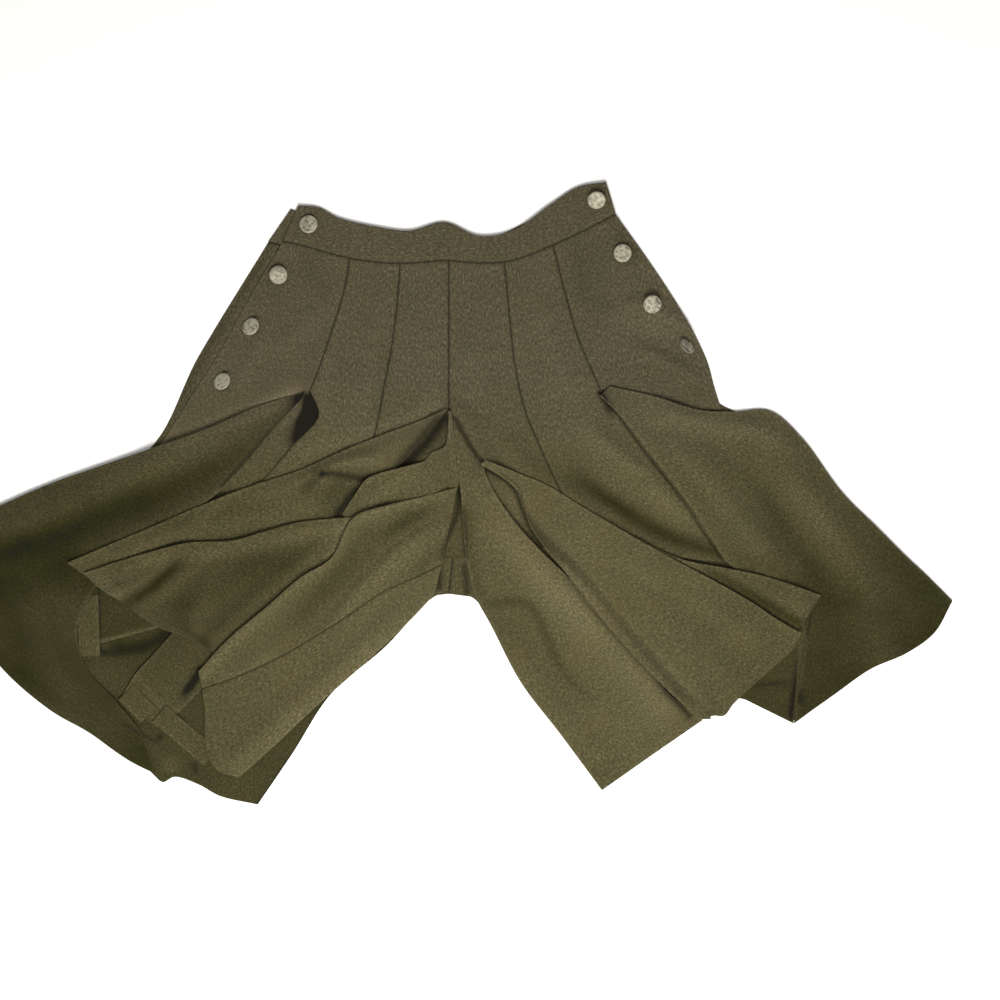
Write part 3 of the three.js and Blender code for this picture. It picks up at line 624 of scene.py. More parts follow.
# Wool flannel, woven and then fulled and raised: no thread shows, only a matt, heathered nap
# of short fibres that pales where it is seen edge on.
def makeFlannel(name, settings):
    material, tree = newMaterial(name)
    colour = lambda key: toLinear(settings[key])
    value = lambda name: addNode(tree, "ShaderNodeAttribute", attribute_name=name).outputs["Fac"]
    flat = addNode(tree, "ShaderNodeUVMap", uv_map="flatCloth").outputs["UV"]
    place = addNode(tree, "ShaderNodeTexCoord").outputs["Object"]
    grain = addNode(
        tree, "ShaderNodeMapping", {"Vector": flat, "Scale": (1.0, 0.45, 1.0)}
    ).outputs["Vector"]
    fibre = noise(tree, grain, settings["fibre"], 3.0, 0.65, 0.4)
    slub = noise(tree, flat, settings["slub"], 3.0, 0.6, 0.6)
    patch = noise(tree, place, settings["patch"], 3.0, 0.55)
    heather = addNode(tree, "ShaderNodeValToRGB", {"Fac": fibre})
    ramp = heather.color_ramp
    ramp.elements[0].position, ramp.elements[0].color = 0.3, colour("shade")
    ramp.elements[1].position, ramp.elements[1].color = 0.72, colour("light")
    ramp.elements.new(0.5).color = colour("body")
    mixed = heather.outputs["Color"]
    for spread, high, tint, most in (
        (slub, 0.72, "brown", 0.5),
        (slub, 0.3, "green", 0.5),
        (patch, 0.75, "brown", 0.28),
        (patch, 0.25, "green", 0.28),
    ):
        mixed = mixColours(tree, mapRange(tree, spread, 0.5, high, most), mixed, colour(tint))
    # painted shade and highlight: the tone attribute darkens and greens the colour where the light
    # falls off towards the outer legs, in hollows and in shadows, and lightens it on ridges and
    # edges;
    # random patches of the cloth's own tone are mixed in too
    white = (1, 1, 1, 1)
    turned = mixColours(tree, value("tone"), colour("turned"), white, clamp_factor=False)
    # painted light: below the hips the colour is multiplied by a greener cast than at the waist,
    # standing in for a difference in the light that falls there
    height = addNode(tree, "ShaderNodeSeparateXYZ", {"Vector": place}).outputs["Y"]
    legsLightCast = mixColours(tree, mapRange(tree, height, *settings["legsTo"]), colour("legs"), white)
    for layer in (turned, legsLightCast):
        mixed = mixColours(tree, 1.0, mixed, layer, blend_type="MULTIPLY")
    # painted shadow: the colour goes towards the dark groove colour in seams, gaps and hollows
    deep = calculate(tree, "MULTIPLY", value("groove"), settings["grooveMost"])
    mixed = mixColours(tree, deep, mixed, colour("groove"))
    bump = addNode(
        tree, "ShaderNodeBump",
        {"Height": calculate(tree, "ADD", fibre, slub), "Strength": 0.75,
         "Distance": settings["nap"] / 1000},
    ).outputs["Normal"]
    addSurface(tree, {
        "Base Color": mixed, "Roughness": settings["roughness"], "Normal": bump,
        "Specular IOR Level": 0.2, "Sheen Weight": settings["sheen"],
        "Sheen Roughness": 0.55, "Sheen Tint": colour("sheenTint"),
    })
    return material


woolFlannel = makeFlannel("wool flannel", flannel)
print("materials made")

# The seams of the front from the waist to where the pleats open.
seams = {
    "hipLeft": [(-189, 290), (-226, 228), (-263, 161), (-300, 103)],
    "sideLeft": [(-112, 270.3), (-119, 232), (-132, 190), (-146, 148)],
    "princessLeft": [(-54, 265.2), (-58, 214), (-64, 168), (-73, 121)],
    "centre": [(2, 267.9), (2, 212), (2, 155), (2, 98)],
    "princessRight": [(66, 267.3), (72, 205), (78, 150), (90, 95)],
    "sideRight": [(122, 285.9), (134, 238), (150, 182), (176, 120)],
    "hipRight": [(194, 321), (230, 271), (268, 213), (299, 154)],
}


# Soft folds that run across the seams of the front, its painted shade and highlight, and the
# painted shadow of its deep creases.
frontCreases = [
    (8, 15, soft, (137, 93), (206, 36), (291, -38)),
    (-7, 12, soft, (125, 43), (176, -1), (233, -45), (291, -63)),
    (3, 11, soft, (107, 22), (167, -24), (222, -63)),
    (5, 11, soft, (190, 222), (239, 210), (296, 183)),
    (-4, 8, soft, (199, 192), (250, 174), (296, 153)),
    (5, 10, soft, (213, 169), (259, 146), (300, 121)),
    (3, 15, soft, (-227, 162), (-174, 185), (-132, 224)),
    (2.5, 12, soft, (-22, 187), (-18, 102)),
    (3.5, 13, soft, (26, 182), (31, 102)),
    (3, 10, soft, (-135, 187), (-144, 116), (-139, 61)),
    (2.5, 12, soft, (-83, 222), (-93, 130), (-105, 72)),
    (3, 12, soft, (101, 245), (121, 176), (147, 118)),
    (3, 11, soft, (159, 279), (176, 222), (183, 164)),
    (-3, 8, soft, (201, 26), (236, 13)),
    (1.5, 5, soft, (9, 279), (52, 279)),
    (2.5, 12, soft, (-198, 222), (-221, 164), (-255, 107)),
]
frontShades = [
    (-0.35, 10, soft, (192, 193), (233, 186), (293, 153)),
    (0.35, 9, soft, (222, 155), (268, 135), (307, 109)),
    (0.12, 7, soft, (171, 220), (228, 210)),
    (0.1, 14, soft, (-68, 199), (-79, 72)),
    (0.37, 12, (0.25, None), (125, 40), (182, -8), (239, -47), (308, -68)),
    (0.65, 10, opens, (159, 10), (222, -28), (262, -51), (312, -69)),
    (-0.6, 9, sharp, (-330, 54), (-255, 85), (-174, 117)),
    (-0.7, 4, sharp, (-330, 52), (-255, 83), (-178, 115)),
    (-0.35, 8, sharp, (-169, 46), (-77, 75), (-8, 101)),
    (0.22, 15, soft, (-174, 279), (-130, 222)),
    (0.24, 14, soft, (144, 296), (174, 187)),
    (0.3, 9, soft, (187, 316), (224, 263)),
    (-0.15, 6, soft, (-169, 18), (-112, 40), (-43, 66)),
    (0.06, 10, soft, (26, 243), (95, 243)),
    (0.08, 8, soft, (222, 139), (296, 109)),
    (0.33, 12, soft, (61, 78), (118, 22), (176, -8)),
    (0.14, 26, soft, (-181, 279), (-198, 222), (-213, 170), (-238, 124)),
    (0.14, 14, soft, (176, 233), (183, 170)),
]
frontGaps = [
    (1.6, 5, sharp, (-161, 110), (-164, 93), (-176, 72)),
    (0.8, 2.6, sharp, (10, 86), (22, 64), (38, 38)),
    (0.85, 1.7, sharp, (175, 116), (189, 100), (200, 85), (225, 51), (253, 15), (279, -20),
     (300, -52), (322, -84)),
    (0.85, 5, (None, 0.4), (178, 114), (191, 87)),
]


def frontPanel(name, seamA, seamB, below, **more):
    sewn = ("a" if seamA != "hipLeft" else "") + ("b" if seamB != "hipRight" else "")
    sections = [*zip(seams[seamA], seams[seamB]), *below]
    return {
        "name": name, "insetA": halfGap, "insetB": halfGap, "sewn": sewn,
        "sections": sections, "creases": frontCreases, "shades": frontShades, "gaps": frontGaps,
        "on": ["back_left_cloth", "back_right_cloth"], **more,
    }


# Layer 1: the back, flat on the table.
backLeft = {
    "name": "back_left", "cell": 4.6, "tone": (1, 0.8, 0.25, 0.1, 0.2), "insetB": halfGap,
    "sewn": "b", "cornersB": [4],
    "sections": [
        ((-206, 289), (2, 267.9)), ((-286, 158), (3, 180)), ((-345, 49), (4, 80)),
        ((-452, 4), (5, -20)), ((-550, -40), (2, -116)), ((-554, -60), (-14, -119)),
        ((-560, -100), (-72, -178)), ((-508, -196), (-134, -232)), ((-408, -268), (-178, -300)),
        ((-342, -320), (-218, -359)),
    ],
    "shades": [
        (0.5, 7, sharp, (-191, 307), (-283, 155), (-346, 51)),
        (-0.12, 12, sharp, (-401, -201), (-370, -227)),
        (-0.45, 11, soft, (-316, -302), (-321, -325)),
        (0.5, 9, sharp, (-378, -178), (-347, -176), (-323, -162)),
    ],
    "gaps": [
        (0.85, 4.5, sharp, (-398, -184), (-376, -183), (-342, -174), (-321, -161)),
        (0.7, 3.5, sharp, (-316, -167), (-358, -208)),
        (0.6, 2.5, soft, (-376, -263), (-330, -291)),
        (0.8, 5, soft, (-334, -278), (-328, -285)),
        (0.7, 4, soft, (-293, -309), (-288, -325)),
        (0.4, 6, soft, (-392, -256), (-376, -259)),
        (0.6, 2.5, sharp, (-402, -109), (-400, -178)),
    ],
}
backRight = {
    "name": "back_right", "cell": 5.6, "tone": (1, 0.5), "insetA": halfGap, "sewn": "a",
    "cornersA": [4],
    "sections": [
        ((2, 267.9), (194, 321)), ((3, 180), (266, 212)), ((4, 80), (306, 110)),
        ((5, -20), (390, 72)), ((2, -116), (450, -2)), ((30, -121), (458, -24)),
        ((64, -175), (540, -90)), ((108, -245), (540, -160)), ((143, -292), (470, -210)),
        ((183, -337), (398, -263)),
    ],
}
backBand = makeBand(
    "waistband_back",
    [
        ((-206, 289), (-180, 327)), ((-123, 273), (-122, 308)), ((-45, 265), (-45, 296)),
        ((2, 267.9), (3, 300)), ((37, 265), (38, 291)), ((120, 285), (112, 322)),
        ((194, 321), (180, 352)),
    ],
    [backLeft, backRight],
)
backLeft["end"] = alongHem([
    (-342, -320), (-328, -333), (-314, -327), (-286, -336), (-262, -349), (-218, -359),
])
backRight["end"] = alongHem([(183, -337), (232, -292), (285, -256), (330, -236), (398, -263)])

# Layer 2: what lies inside the legs: pleat underlays, the rise and the leaves of the left hem.
pleatUnderlays = [
    {
        "name": "pleat_underlay_left", "tone": (0.85, 0.7),
        "sections": [
            ((-188, 128), (-128, 120)), ((-226, 84), (-130, 62)), ((-276, 30), (-160, 12)),
            ((-330, -20), (-205, -40)),
        ],
        "shades": [(-0.1, 12, soft, (-181, 78), (-238, 15))],
        "gaps": [
            (1.5, 11, sharp, (-163, 109), (-163, 91), (-170, 63)),
            (1.4, 8, sharp, (-158, 108), (-154, 93), (-160, 77)),
        ],
    },
    {
        "name": "pleat_underlay_right", "tone": (0.5, 0.3),
        "sections": [
            ((150, 128), (204, 134)), ((180, 76), (256, 84)), ((236, 6), (322, 22)),
            ((300, -78), (382, -44)),
        ],
    },
]
riseFront = {
    "name": "rise_front", "tone": (0.6, 0.55),
    "sections": [
        ((-20, 112), (22, 112)), ((-62, 48), (34, 44)), ((-62, 2), (56, -12)),
        ((-14, -74), (44, -74)),
    ],
    "creases": [(2, 3, soft, (10, -31), (10, -68))],
    "gaps": [
        (1, 7, sharp, (-3, 86), (-23, 59), (-49, 32)),
        (0.85, 3, sharp, (13, 10), (12, -22), (-1, -54), (-7, -75)),
        (0.85, 3, sharp, (16, 3), (20, -25), (22, -72)),
        (0.8, 2.2, sharp, (-7, -75), (22, -77)),
    ],
}
riseBack = [
    {
        "name": "rise_back_left", "tone": (0.8, 0.8), "insetB": halfGap, "sewn": "b",
        "sections": [((-14, -74.4), (7, -74.4)), ((-15, -118), (2, -116))],
        "gaps": [(0.8, 4, sharp, (-9, -83), (-9, -109))],
    },
    {
        "name": "rise_back_right", "tone": (0.7, 0.7), "insetA": halfGap, "sewn": "a",
        "sections": [((7, -74.4), (44, -74.4)), ((2, -116), (33, -120))],
        "gaps": [(0.7, 4, sharp, (20, -84), (23, -114))],
    },
]
hemLeaves = [
    {
        "name": "hem_leaf_1", "tone": (0.05, 0.05),
        "sections": [
            ((-430, -84), (-322, -84)), ((-426, -130), (-326, -128)), ((-400, -173), (-334, -155)),
        ],
        "shades": [(-0.8, 3, sharp, (-401, -172), (-334, -155))],
        "gaps": [
            (0.7, 2.5, sharp, (-401, -109), (-400, -174)),
            (0.85, 4.5, sharp, (-385, -183), (-359, -181), (-342, -174), (-321, -161)),
        ],
    },
    {
        "name": "hem_leaf_2", "tone": (0.3, 0.5), "foldA": 10,
        "sections": [
            ((-316, -160), (-262, -160)), ((-337, -184), (-264, -196)),
            ((-359, -208), (-300, -244)), ((-376, -236), (-334, -270)),
        ],
        "shades": [(-0.25, 4, sharp, (-358, -210), (-330, -243))],
        "gaps": [
            (1.5, 5, (None, 0.5), (-284, -204), (-294, -220), (-309, -238)),
            (0.85, 4.5, sharp, (-342, -174), (-321, -161)),
        ],
    },
]
underPleatRight = {
    "name": "under_pleat_right", "tone": (0.2, 0.05), "foldB": 12,
    "sections": [
        ((306, -176), (396, -120)), ((330, -214), (404, -190)), ((340, -236), (399, -265)),
    ],
    "gaps": [
        (0.85, 2.4, sharp, (421, -130), (412, -177), (402, -224), (396, -261)),
        (0.7, 3.4, sharp, (406, -175), (394, -255)),
        (0.6, 3, soft, (350, -222), (397, -217)),
    ],
}

# Layer 3: the turned-up hem, seen inside the left leg, and the right leg's inner leaf.
def turnUpStrip(name, start, end):
    length = math.dist(start, end)
    depth = laying["hemDepth"] / length
    aside = (-(end[1] - start[1]) * depth, (end[0] - start[0]) * depth)
    far = lambda point: (point[0] + aside[0], point[1] + aside[1])
    return {
        "name": name, "calm": 0.3, "tone": (0.5, 0.6),
        "sections": [(start, far(start)), (end, far(end))],
    }


hemTurnUps = [
    turnUpStrip("hem_turn_up_1", (-426, -118), (-424, -188)),
    turnUpStrip("hem_turn_up_2", (-378, -238), (-352, -264)),
    turnUpStrip("hem_turn_up_3", (-339, -263), (-280, -314)),
]
legLeafRight = {
    "name": "leg_leaf_right", "tone": (1.15, 1.1),
    "sections": [
        ((14, 84), (40, 74)), ((30, 34), (92, 26)), ((62, -14), (124, -16)),
        ((104, -80), (166, -62)), ((182, -176), (246, -154)), ((258, -262), (304, -260)),
    ],
    "creases": [(2.5, 9, sharp, (45, 13), (93, -54), (130, -95))],
    "shades": [(-0.1, 6, soft, (61, 15), (95, -43))],
    "gaps": [(0.9, 2.8, sharp, (38, 31), (68, 14), (79, 1), (86, -17), (95, -39), (110, -61))],
}

# Layer 4: the inside of the right leg, under the front's folded edge.
legFlapRight = {
    "name": "leg_flap_right", "foldA": 12, "foldB": 22,
    "sections": [
        ((1, 96), (13, 92)), ((8, 43), (37, 46)), ((15, 5), (49, 12)), ((18, -30), (75, -29)),
        ((22, -75), (109, -67)), ((33, -119), (154, -110)), ((51, -153), (192, -158)),
        ((85, -218), (229, -200)), ((130, -277), (263, -238)), ((178, -342), (294, -261)),
    ],
    "creases": [
        (9, 22, opens, (24, 17), (84, -60), (164, -146), (247, -240)),
        (-4, 7, (0.2, 0.3), (43, -123), (93, -128), (114, -162), (130, -201), (167, -238)),
        (5, 16, opens, (59, -148), (107, -229), (164, -298)),
    ],
    "shades": [
        (-0.2, 5, sharp, (3, 89), (10, 15)),
        (-0.1, 12, soft, (107, -77), (176, -152), (256, -238)),
        (-0.22, 20, soft, (67, -31), (125, -123), (176, -181)),
        (-0.35, 5, sharp, (55, -2), (113, -68)),
        (0.5, 8, (0.2, None), (23, -8), (26, -77), (36, -114)),
        (0.4, 6, (0.1, 0.3), (43, -128), (93, -128), (114, -162), (130, -201), (167, -238)),
        (0.25, 26, sharp, (61, -162), (121, -266), (174, -335)),
        (-0.12, 20, soft, (61, -8), (125, -118), (190, -197)),
    ],
    "gaps": [
        (0.8, 3.4, sharp, (7, 91), (21, 64), (40, 34)),
        (0.4, 1.8, sharp, (113, -63), (130, -84), (163, -130), (201, -174), (239, -215),
         (279, -256)),
        (0.5, 5, (0.4, None), (239, -215), (279, -256)),
        (0.6, 3, sharp, (18, -17), (21, -43), (22, -77)),
    ],
}

# Layer 5: the front, six panels sewn edge to edge below a waistband.
frontPanels = [
    frontPanel(
        "front_hip_left", "hipLeft", "sideLeft",
        [((-336, 46), (-158, 118)), ((-350, 22), (-166, 84))],
        cornersB=[4],
    ),
    frontPanel(
        "front_side_left", "sideLeft", "princessLeft",
        [
            ((-158, 118), (-80, 82)), ((-148, 90), (-88, 50)), ((-178, 55), (-96, 15)),
            ((-216, 10), (-110, -20)),
        ],
        cornersA=[4],
    ),
    frontPanel(
        "front_centre_left", "princessLeft", "centre",
        [
            ((-80, 82), (-16, 82)), ((-88, 50), (-40, 56)), ((-96, 15), (-66, 34)),
            ((-110, -20), (-86, 14)),
        ],
        cornersB=[3],
    ),
    frontPanel(
        "front_centre_right", "centre", "princessRight",
        [
            ((22, 61), (105, 58)), ((45, 36), (124, 16)), ((100, 2), (148, -28)),
            ((124, -30), (180, -70)),
        ],
        cornersA=[3],
    ),
    frontPanel(
        "front_side_right", "princessRight", "sideRight",
        [
            ((105, 58), (198, 96)), ((124, 16), (246, 37)), ((148, -28), (290, -18)),
            ((180, -70), (332, -80)),
        ],
        cornersB=[3],
    ),
    frontPanel(
        "front_hip_right", "sideRight", "hipRight",
        [((198, 112), (308, 122)), ((226, 90), (316, 96))],
        cornersA=[3],
    ),
]
frontBand = makeBand(
    "waistband_front",
    [
        ((-189, 290), (-171, 331)), ((-162, 284), (-148, 329)), ((-123, 273), (-125, 317)),
        ((-82, 266), (-84, 307)), ((-45, 265), (-43, 302)), ((0, 268), (-3, 312)),
        ((37, 265), (37, 296)), ((75, 268), (75, 302)), ((120, 285), (119, 332)),
        ((155, 301), (150, 352)), ((194, 321), (183, 358)),
    ],
    frontPanels,
)

# Layer 6: the outer pleat of each leg, thrown out over the hip.
flareLeft = {
    "name": "outer_flare_left", "cell": 3.3, "press": 0.8, "taper": 300,
    "tone": (0.8, 0.4, 0.1, -0.05, -0.15, -0.2), "foldA": 22, "foldB": 26,
    "sections": [
        ((-163, 117), (-168, 107)), ((-217, 101), (-200, 72)), ((-276, 75), (-240, 23)),
        ((-345, 50), (-285, -18)), ((-400, 31), (-345, -62)), ((-459, 10), (-400, -104)),
        ((-514, -14), (-425, -150)), ((-545, -28), (-416, -200)), ((-562, -42), (-382, -238)),
        ((-573, -52), (-352, -276)), ((-581, -66), (-334, -324)),
    ],
    "creases": [
        (11, 24, (0.35, None), (-178, 102), (-244, 72), (-330, 36), (-422, -5), (-514, -43),
         (-583, -72)),
        (6, 15, soft, (-213, 26), (-284, -12), (-353, -43), (-422, -72)),
        (6, 22, opens, (-445, -94), (-468, -146), (-434, -227), (-388, -284)),
        (4, 22, opens, (-537, -112), (-526, -169)),
    ],
    "shades": [
        (0.5, 22, (0.1, None), (-169, 93), (-227, 56), (-284, 22), (-342, 2), (-399, -21),
         (-445, -45), (-514, -63)),
        (0.15, 18, sharp, (-434, -84), (-480, -102), (-537, -123)),
        (-0.15, 9, (0.2, None), (-342, 44), (-422, 17), (-514, -22), (-583, -48)),
        (-0.14, 9, soft, (-192, 70), (-267, 6)),
        (-0.3, 10, sharp, (-537, -197), (-480, -238), (-428, -267)),
        (-0.25, 13, soft, (-438, -112), (-431, -181)),
        (-0.2, 12, soft, (-385, -227), (-342, -278)),
        (-0.45, 5, (0.2, 0.2), (-181, 105), (-255, 75), (-330, 47)),
        (1.9, 6, sharp, (-161, 112), (-164, 93), (-175, 75)),
    ],
    "gaps": [
        (1.6, 13, sharp, (-166, 108), (-167, 87), (-174, 68)),
        (0.65, 2.6, sharp, (-179, 95), (-206, 68), (-232, 38), (-259, 8)),
        (0.6, 2.5, soft, (-376, -263), (-330, -291)),
        (0.8, 5, soft, (-334, -278), (-328, -285)),
    ],
}
flareLeft["end"] = alongHem([
    (-581, -66), (-569, -108), (-543, -155), (-514, -200), (-457, -250), (-411, -276), (-366, -308),
    (-334, -324),
])
flareRight = {
    "name": "outer_flare_right", "tone": (1.0, 0.95, 0.8, 0.5, 0.05, -0.15), "foldA": 26,
    "foldB": 22,
    "sections": [
        ((176, 112), (188, 123)), ((202, 86), (237, 112)), ((228, 52), (290, 96)),
        ((256, 17), (330, 94)), ((282, -18), (372, 95)), ((303, -50), (410, 62)),
        ((325, -82), (455, 1)), ((376, -112), (494, -38)), ((410, -158), (528, -72)),
        ((406, -212), (556, -98)), ((399, -265), (582, -124)),
    ],
    "creases": [
        (6, 13, soft, (222, 105), (291, 82), (360, 72), (409, 44)),
        (6, 20, soft, (222, 79), (291, 22), (351, -47), (394, -128)),
        (-6, 13, soft, (331, 40), (378, -25), (420, -91), (454, -152)),
        (8, 21, opens, (371, 52), (431, -31), (477, -100), (503, -181)),
        (2.5, 14, soft, (498, -77), (527, -123), (550, -158)),
    ],
    "shades": [
        (0.2, 13, soft, (291, 61), (348, 1), (400, -71)),
        (0.2, 9, soft, (389, 70), (406, 55)),
        (0.25, 14, soft, (452, -107), (503, -155)),
        (0.15, 8, soft, (337, -72), (397, -93)),
        (-0.15, 14, soft, (331, 26), (371, -43)),
        (-0.1, 14, soft, (394, 15), (463, -77)),
    ],
    "gaps": [
        (1, 4.5, sharp, (179, 113), (187, 98), (195, 86)),
        (0.5, 1.7, sharp, (201, 84), (225, 51), (253, 15), (279, -20), (300, -52), (324, -85)),
        (0.9, 5, soft, (404, -224), (407, -245)),
        (0.6, 2.4, soft, (421, -132), (413, -169)),
    ],
}
flareRight["end"] = alongHem([
    (399, -265), (447, -231), (490, -201), (531, -183), (561, -161), (582, -124),
])

# Layers 7 to 11: the middle pleats, fanned out from the foot of the centre seam.
flapRightUnder = {
    "name": "flap_right_under", "tone": (0.8, 0.65), "foldB": 14,
    "sections": [
        ((216, -78), (226, -56)), ((252, -98), (271, -76)), ((298, -122), (321, -86)),
        ((342, -148), (368, -96)), ((392, -176), (430, -117)),
    ],
    "creases": [(3, 10, opens, (245, -68), (316, -97), (412, -131))],
    "shades": [
        (0.8, 7, (0.1, None), (296, -87), (343, -112), (406, -151)),
        (-0.15, 9, sharp, (383, -112), (423, -123)),
    ],
}
flapRight = {
    "name": "flap_right", "tone": (1.2, 1.1, 0.9, 0.7), "foldA": 20, "foldB": 24,
    "sections": [
        ((39, 33), (45, 38)), ((66, 16), (80, 24)), ((87, -4), (116, 9)), ((94, -34), (152, -13)),
        ((112, -62), (206, -45)), ((147, -104), (263, -77)), ((185, -152), (308, -101)),
        ((223, -195), (350, -125)), ((261, -234), (383, -147)), ((290, -261), (407, -160)),
    ],
    "creases": [
        (4, 30, opens, (141, -33), (222, -123), (320, -227)),
        (2.5, 14, opens, (279, -112), (348, -169)),
    ],
    "shades": [
        (-0.12, 7, soft, (116, -31), (153, -84), (199, -141)),
        (-0.5, 10, (0.1, None), (125, -66), (164, -112), (222, -174), (293, -243)),
        (0.12, 10, soft, (291, -89), (394, -158)),
        (0.1, 8, soft, (222, -54), (291, -94)),
    ],
    "gaps": [
        (0.45, 1.8, (None, 0.2), (61, 23), (77, 12), (85, 0), (91, -20), (99, -39), (113, -61),
         (130, -84), (162, -128), (199, -171), (239, -215)),
    ],
}
flapRight["end"] = alongHem([
    (290, -261), (306, -256), (319, -256), (330, -242), (350, -223), (377, -199), (398, -179),
    (407, -160),
])
flapLeft1 = {
    "name": "flap_left_1", "tone": (1, 0.95, 0.75, 0.5, 0.75), "foldA": 24,
    "sections": [
        ((0, 97), (-8, 86)), ((-30, 84), (-42, 46)), ((-62, 72), (-78, 6)),
        ((-113, 52), (-118, -50)), ((-169, 27), (-165, -72)), ((-227, 8), (-215, -85)),
        ((-285, -15), (-270, -95)), ((-350, -43), (-326, -106)), ((-400, -64), (-366, -116)),
        ((-437, -80), (-392, -112)),
    ],
    "creases": [
        (-6, 11, soft, (-109, 17), (-144, -10)),
        (5, 9, soft, (-174, 10), (-117, 36), (-63, 38)),
        (4, 12, opens, (-181, -14), (-284, -39), (-376, -72)),
        (3, 10, soft, (-20, 72), (-135, 26), (-238, -8)),
    ],
    "shades": [
        (0.45, 7, soft, (-148, 22), (-169, -1)),
        (0.35, 6, sharp, (-148, 25), (-117, 23), (-84, 20)),
        (0.2, 14, soft, (-117, 13), (-144, -20)),
        (0.3, 6, soft, (-112, -23), (-160, -28)),
        (0.14, 12, soft, (-342, -48), (-261, -29), (-169, -8)),
        (-0.12, 9, soft, (-158, 44), (-54, 78)),
    ],
    "gaps": [
        (0.9, 3.4, sharp, (-144, 22), (-129, 22), (-109, 18), (-84, 15)),
        (0.4, 5, (None, 0.4), (-144, 22), (-164, 2)),
        (1, 5.5, sharp, (-89, 16), (-108, 0), (-126, -24)),
        (0.75, 6, sharp, (-10, 85), (-33, 59), (-56, 32)),
    ],
}
flapLeft1b = {
    "name": "flap_left_1b", "taper": 20, "tone": (0.95, 0.9), "foldA": 14,
    "sections": [
        ((2, 94), (5, 94)), ((1, 72), (7, 72)), ((-2, 55), (9, 47)), ((-10, 50), (12, 26)),
        ((-18, 47), (13, 10)), ((-25, 38), (6, -5)), ((-40, 33), (-17, -15)),
        ((-55, 29), (-43, -22)), ((-77, 23), (-66, -28)), ((-93, 16), (-86, -32)),
        ((-107, -3), (-105, -33)), ((-120, -23), (-116, -32)),
    ],
    "creases": [
        (4, 11, soft, (-20, 33), (-60, 13), (-100, -14)),
        (2.5, 4, (None, 0.4), (3, 93), (3, 61), (6, 26)),
    ],
}
flapLeft2 = {
    "name": "flap_left_2", "press": 0.7, "tone": (0.9, 0.66, 0.42, 0.33, 0.36, 0.52), "foldA": 24,
    "sections": [
        ((-56, -28), (-59, -54)), ((-86, -28), (-86, -77)), ((-116, -28), (-109, -100)),
        ((-144, -30), (-135, -114)), ((-170, -33), (-155, -128)), ((-208, -43), (-181, -152)),
        ((-246, -54), (-204, -172)), ((-298, -57), (-214, -184)), ((-350, -70), (-232, -198)),
        ((-417, -91), (-245, -205)),
    ],
    "creases": [
        (4, 8, soft, (-123, -36), (-169, -41), (-238, -53), (-296, -66)),
        (9, 11, opens, (-312, -72), (-353, -105), (-390, -123)),
        (-8, 7, opens, (-289, -69), (-330, -103), (-367, -130)),
        (4, 14, opens, (-255, -72), (-284, -123), (-302, -169)),
        (-7, 13, (0.2, None), (-123, -47), (-178, -84), (-232, -128), (-279, -181)),
    ],
    "shades": [
        (0.3, 16, opens, (-175, -68), (-244, -93), (-313, -130)),
        (0.65, 8, (0.2, None), (-305, -72), (-346, -110), (-377, -126)),
        (-0.5, 14, sharp, (-408, -91), (-385, -116)),
        (-0.2, 10, soft, (-342, -75), (-376, -100)),
        (-0.25, 8, soft, (-270, -77), (-307, -100), (-342, -129)),
        (0.12, 15, soft, (-307, -123), (-296, -160)),
        (-0.5, 9, sharp, (-342, -79), (-267, -70), (-204, -59), (-117, -40)),
        (0.5, 7, sharp, (-298, -160), (-276, -176)),
        (-0.45, 8, sharp, (-123, -45), (-169, -86), (-227, -132), (-270, -175)),
        (-0.9, 5, (None, 0.4), (-112, -31), (-125, -61), (-151, -84)),
    ],
    "gaps": [(0.35, 2.5, soft, (-299, -69), (-321, -90), (-342, -109))],
}
flapLeft2["end"] = alongHem([
    (-417, -91), (-403, -106), (-378, -122), (-351, -143), (-329, -156), (-296, -167), (-269, -184),
    (-245, -205),
])

# The last flap is two pieces, sewn along the middle.
legSeam = [
    (-6, -82), (-40, -98), (-75, -114), (-112, -139), (-151, -164), (-185, -184), (-215, -199),
    (-245, -212), (-282, -225),
]
legFold = [
    (12, 7), (-25, -3), (-67, -13), (-107, -27), (-133, -74), (-169, -97), (-208, -131),
    (-251, -167), (-286, -205),
]
legInseam = [
    (-15, -117), (-37, -141), (-74, -177), (-108, -208), (-140, -236), (-165, -259), (-190, -283),
    (-216, -307), (-240, -328),
]
flapLeft3 = {
    "name": "flap_left_3", "press": 0.8, "taper": 250, "tone": (1.0, 0.95, 0.95, 0.9),
    "seamDark": 0.12, "foldA": 24, "insetB": halfGap, "sewn": "b",
    "sections": list(zip(legFold, legSeam)),
    "creases": [
        (4, 7, opens, (-13, 1), (-63, -13), (-106, -31), (-130, -69), (-169, -102), (-238, -162),
         (-281, -206)),
        (-8, 10, (0.15, 0.2), (-6, -13), (-52, -38), (-108, -89), (-163, -146), (-187, -172)),
        (7, 13, soft, (-6, -33), (-52, -68), (-109, -125), (-144, -175)),
        (3, 10, soft, (-1, -63), (-31, -93), (-77, -128)),
        (4, 12, opens, (-181, -169), (-227, -201), (-270, -238)),
    ],
    "shades": [
        (-0.25, 7, sharp, (-106, -32), (-54, -17), (-6, -6)),
        (0.9, 12, sharp, (-247, -323), (-210, -304)),
        (0.4, 9, (0.15, 0.2), (-17, -16), (-63, -41), (-97, -55), (-114, -77), (-135, -100),
         (-166, -132), (-204, -169)),
        (-0.2, 7, (0.1, None), (-112, -33), (-130, -69), (-163, -95), (-227, -152), (-279, -206)),
        (-0.1, 18, soft, (-243, -238), (-266, -307)),
        (0.2, 9, sharp, (-13, -63), (-31, -94)),
    ],
    "gaps": [(0.6, 3, sharp, (14, 10), (12, -14), (8, -33), (0, -54), (-7, -74))],
}
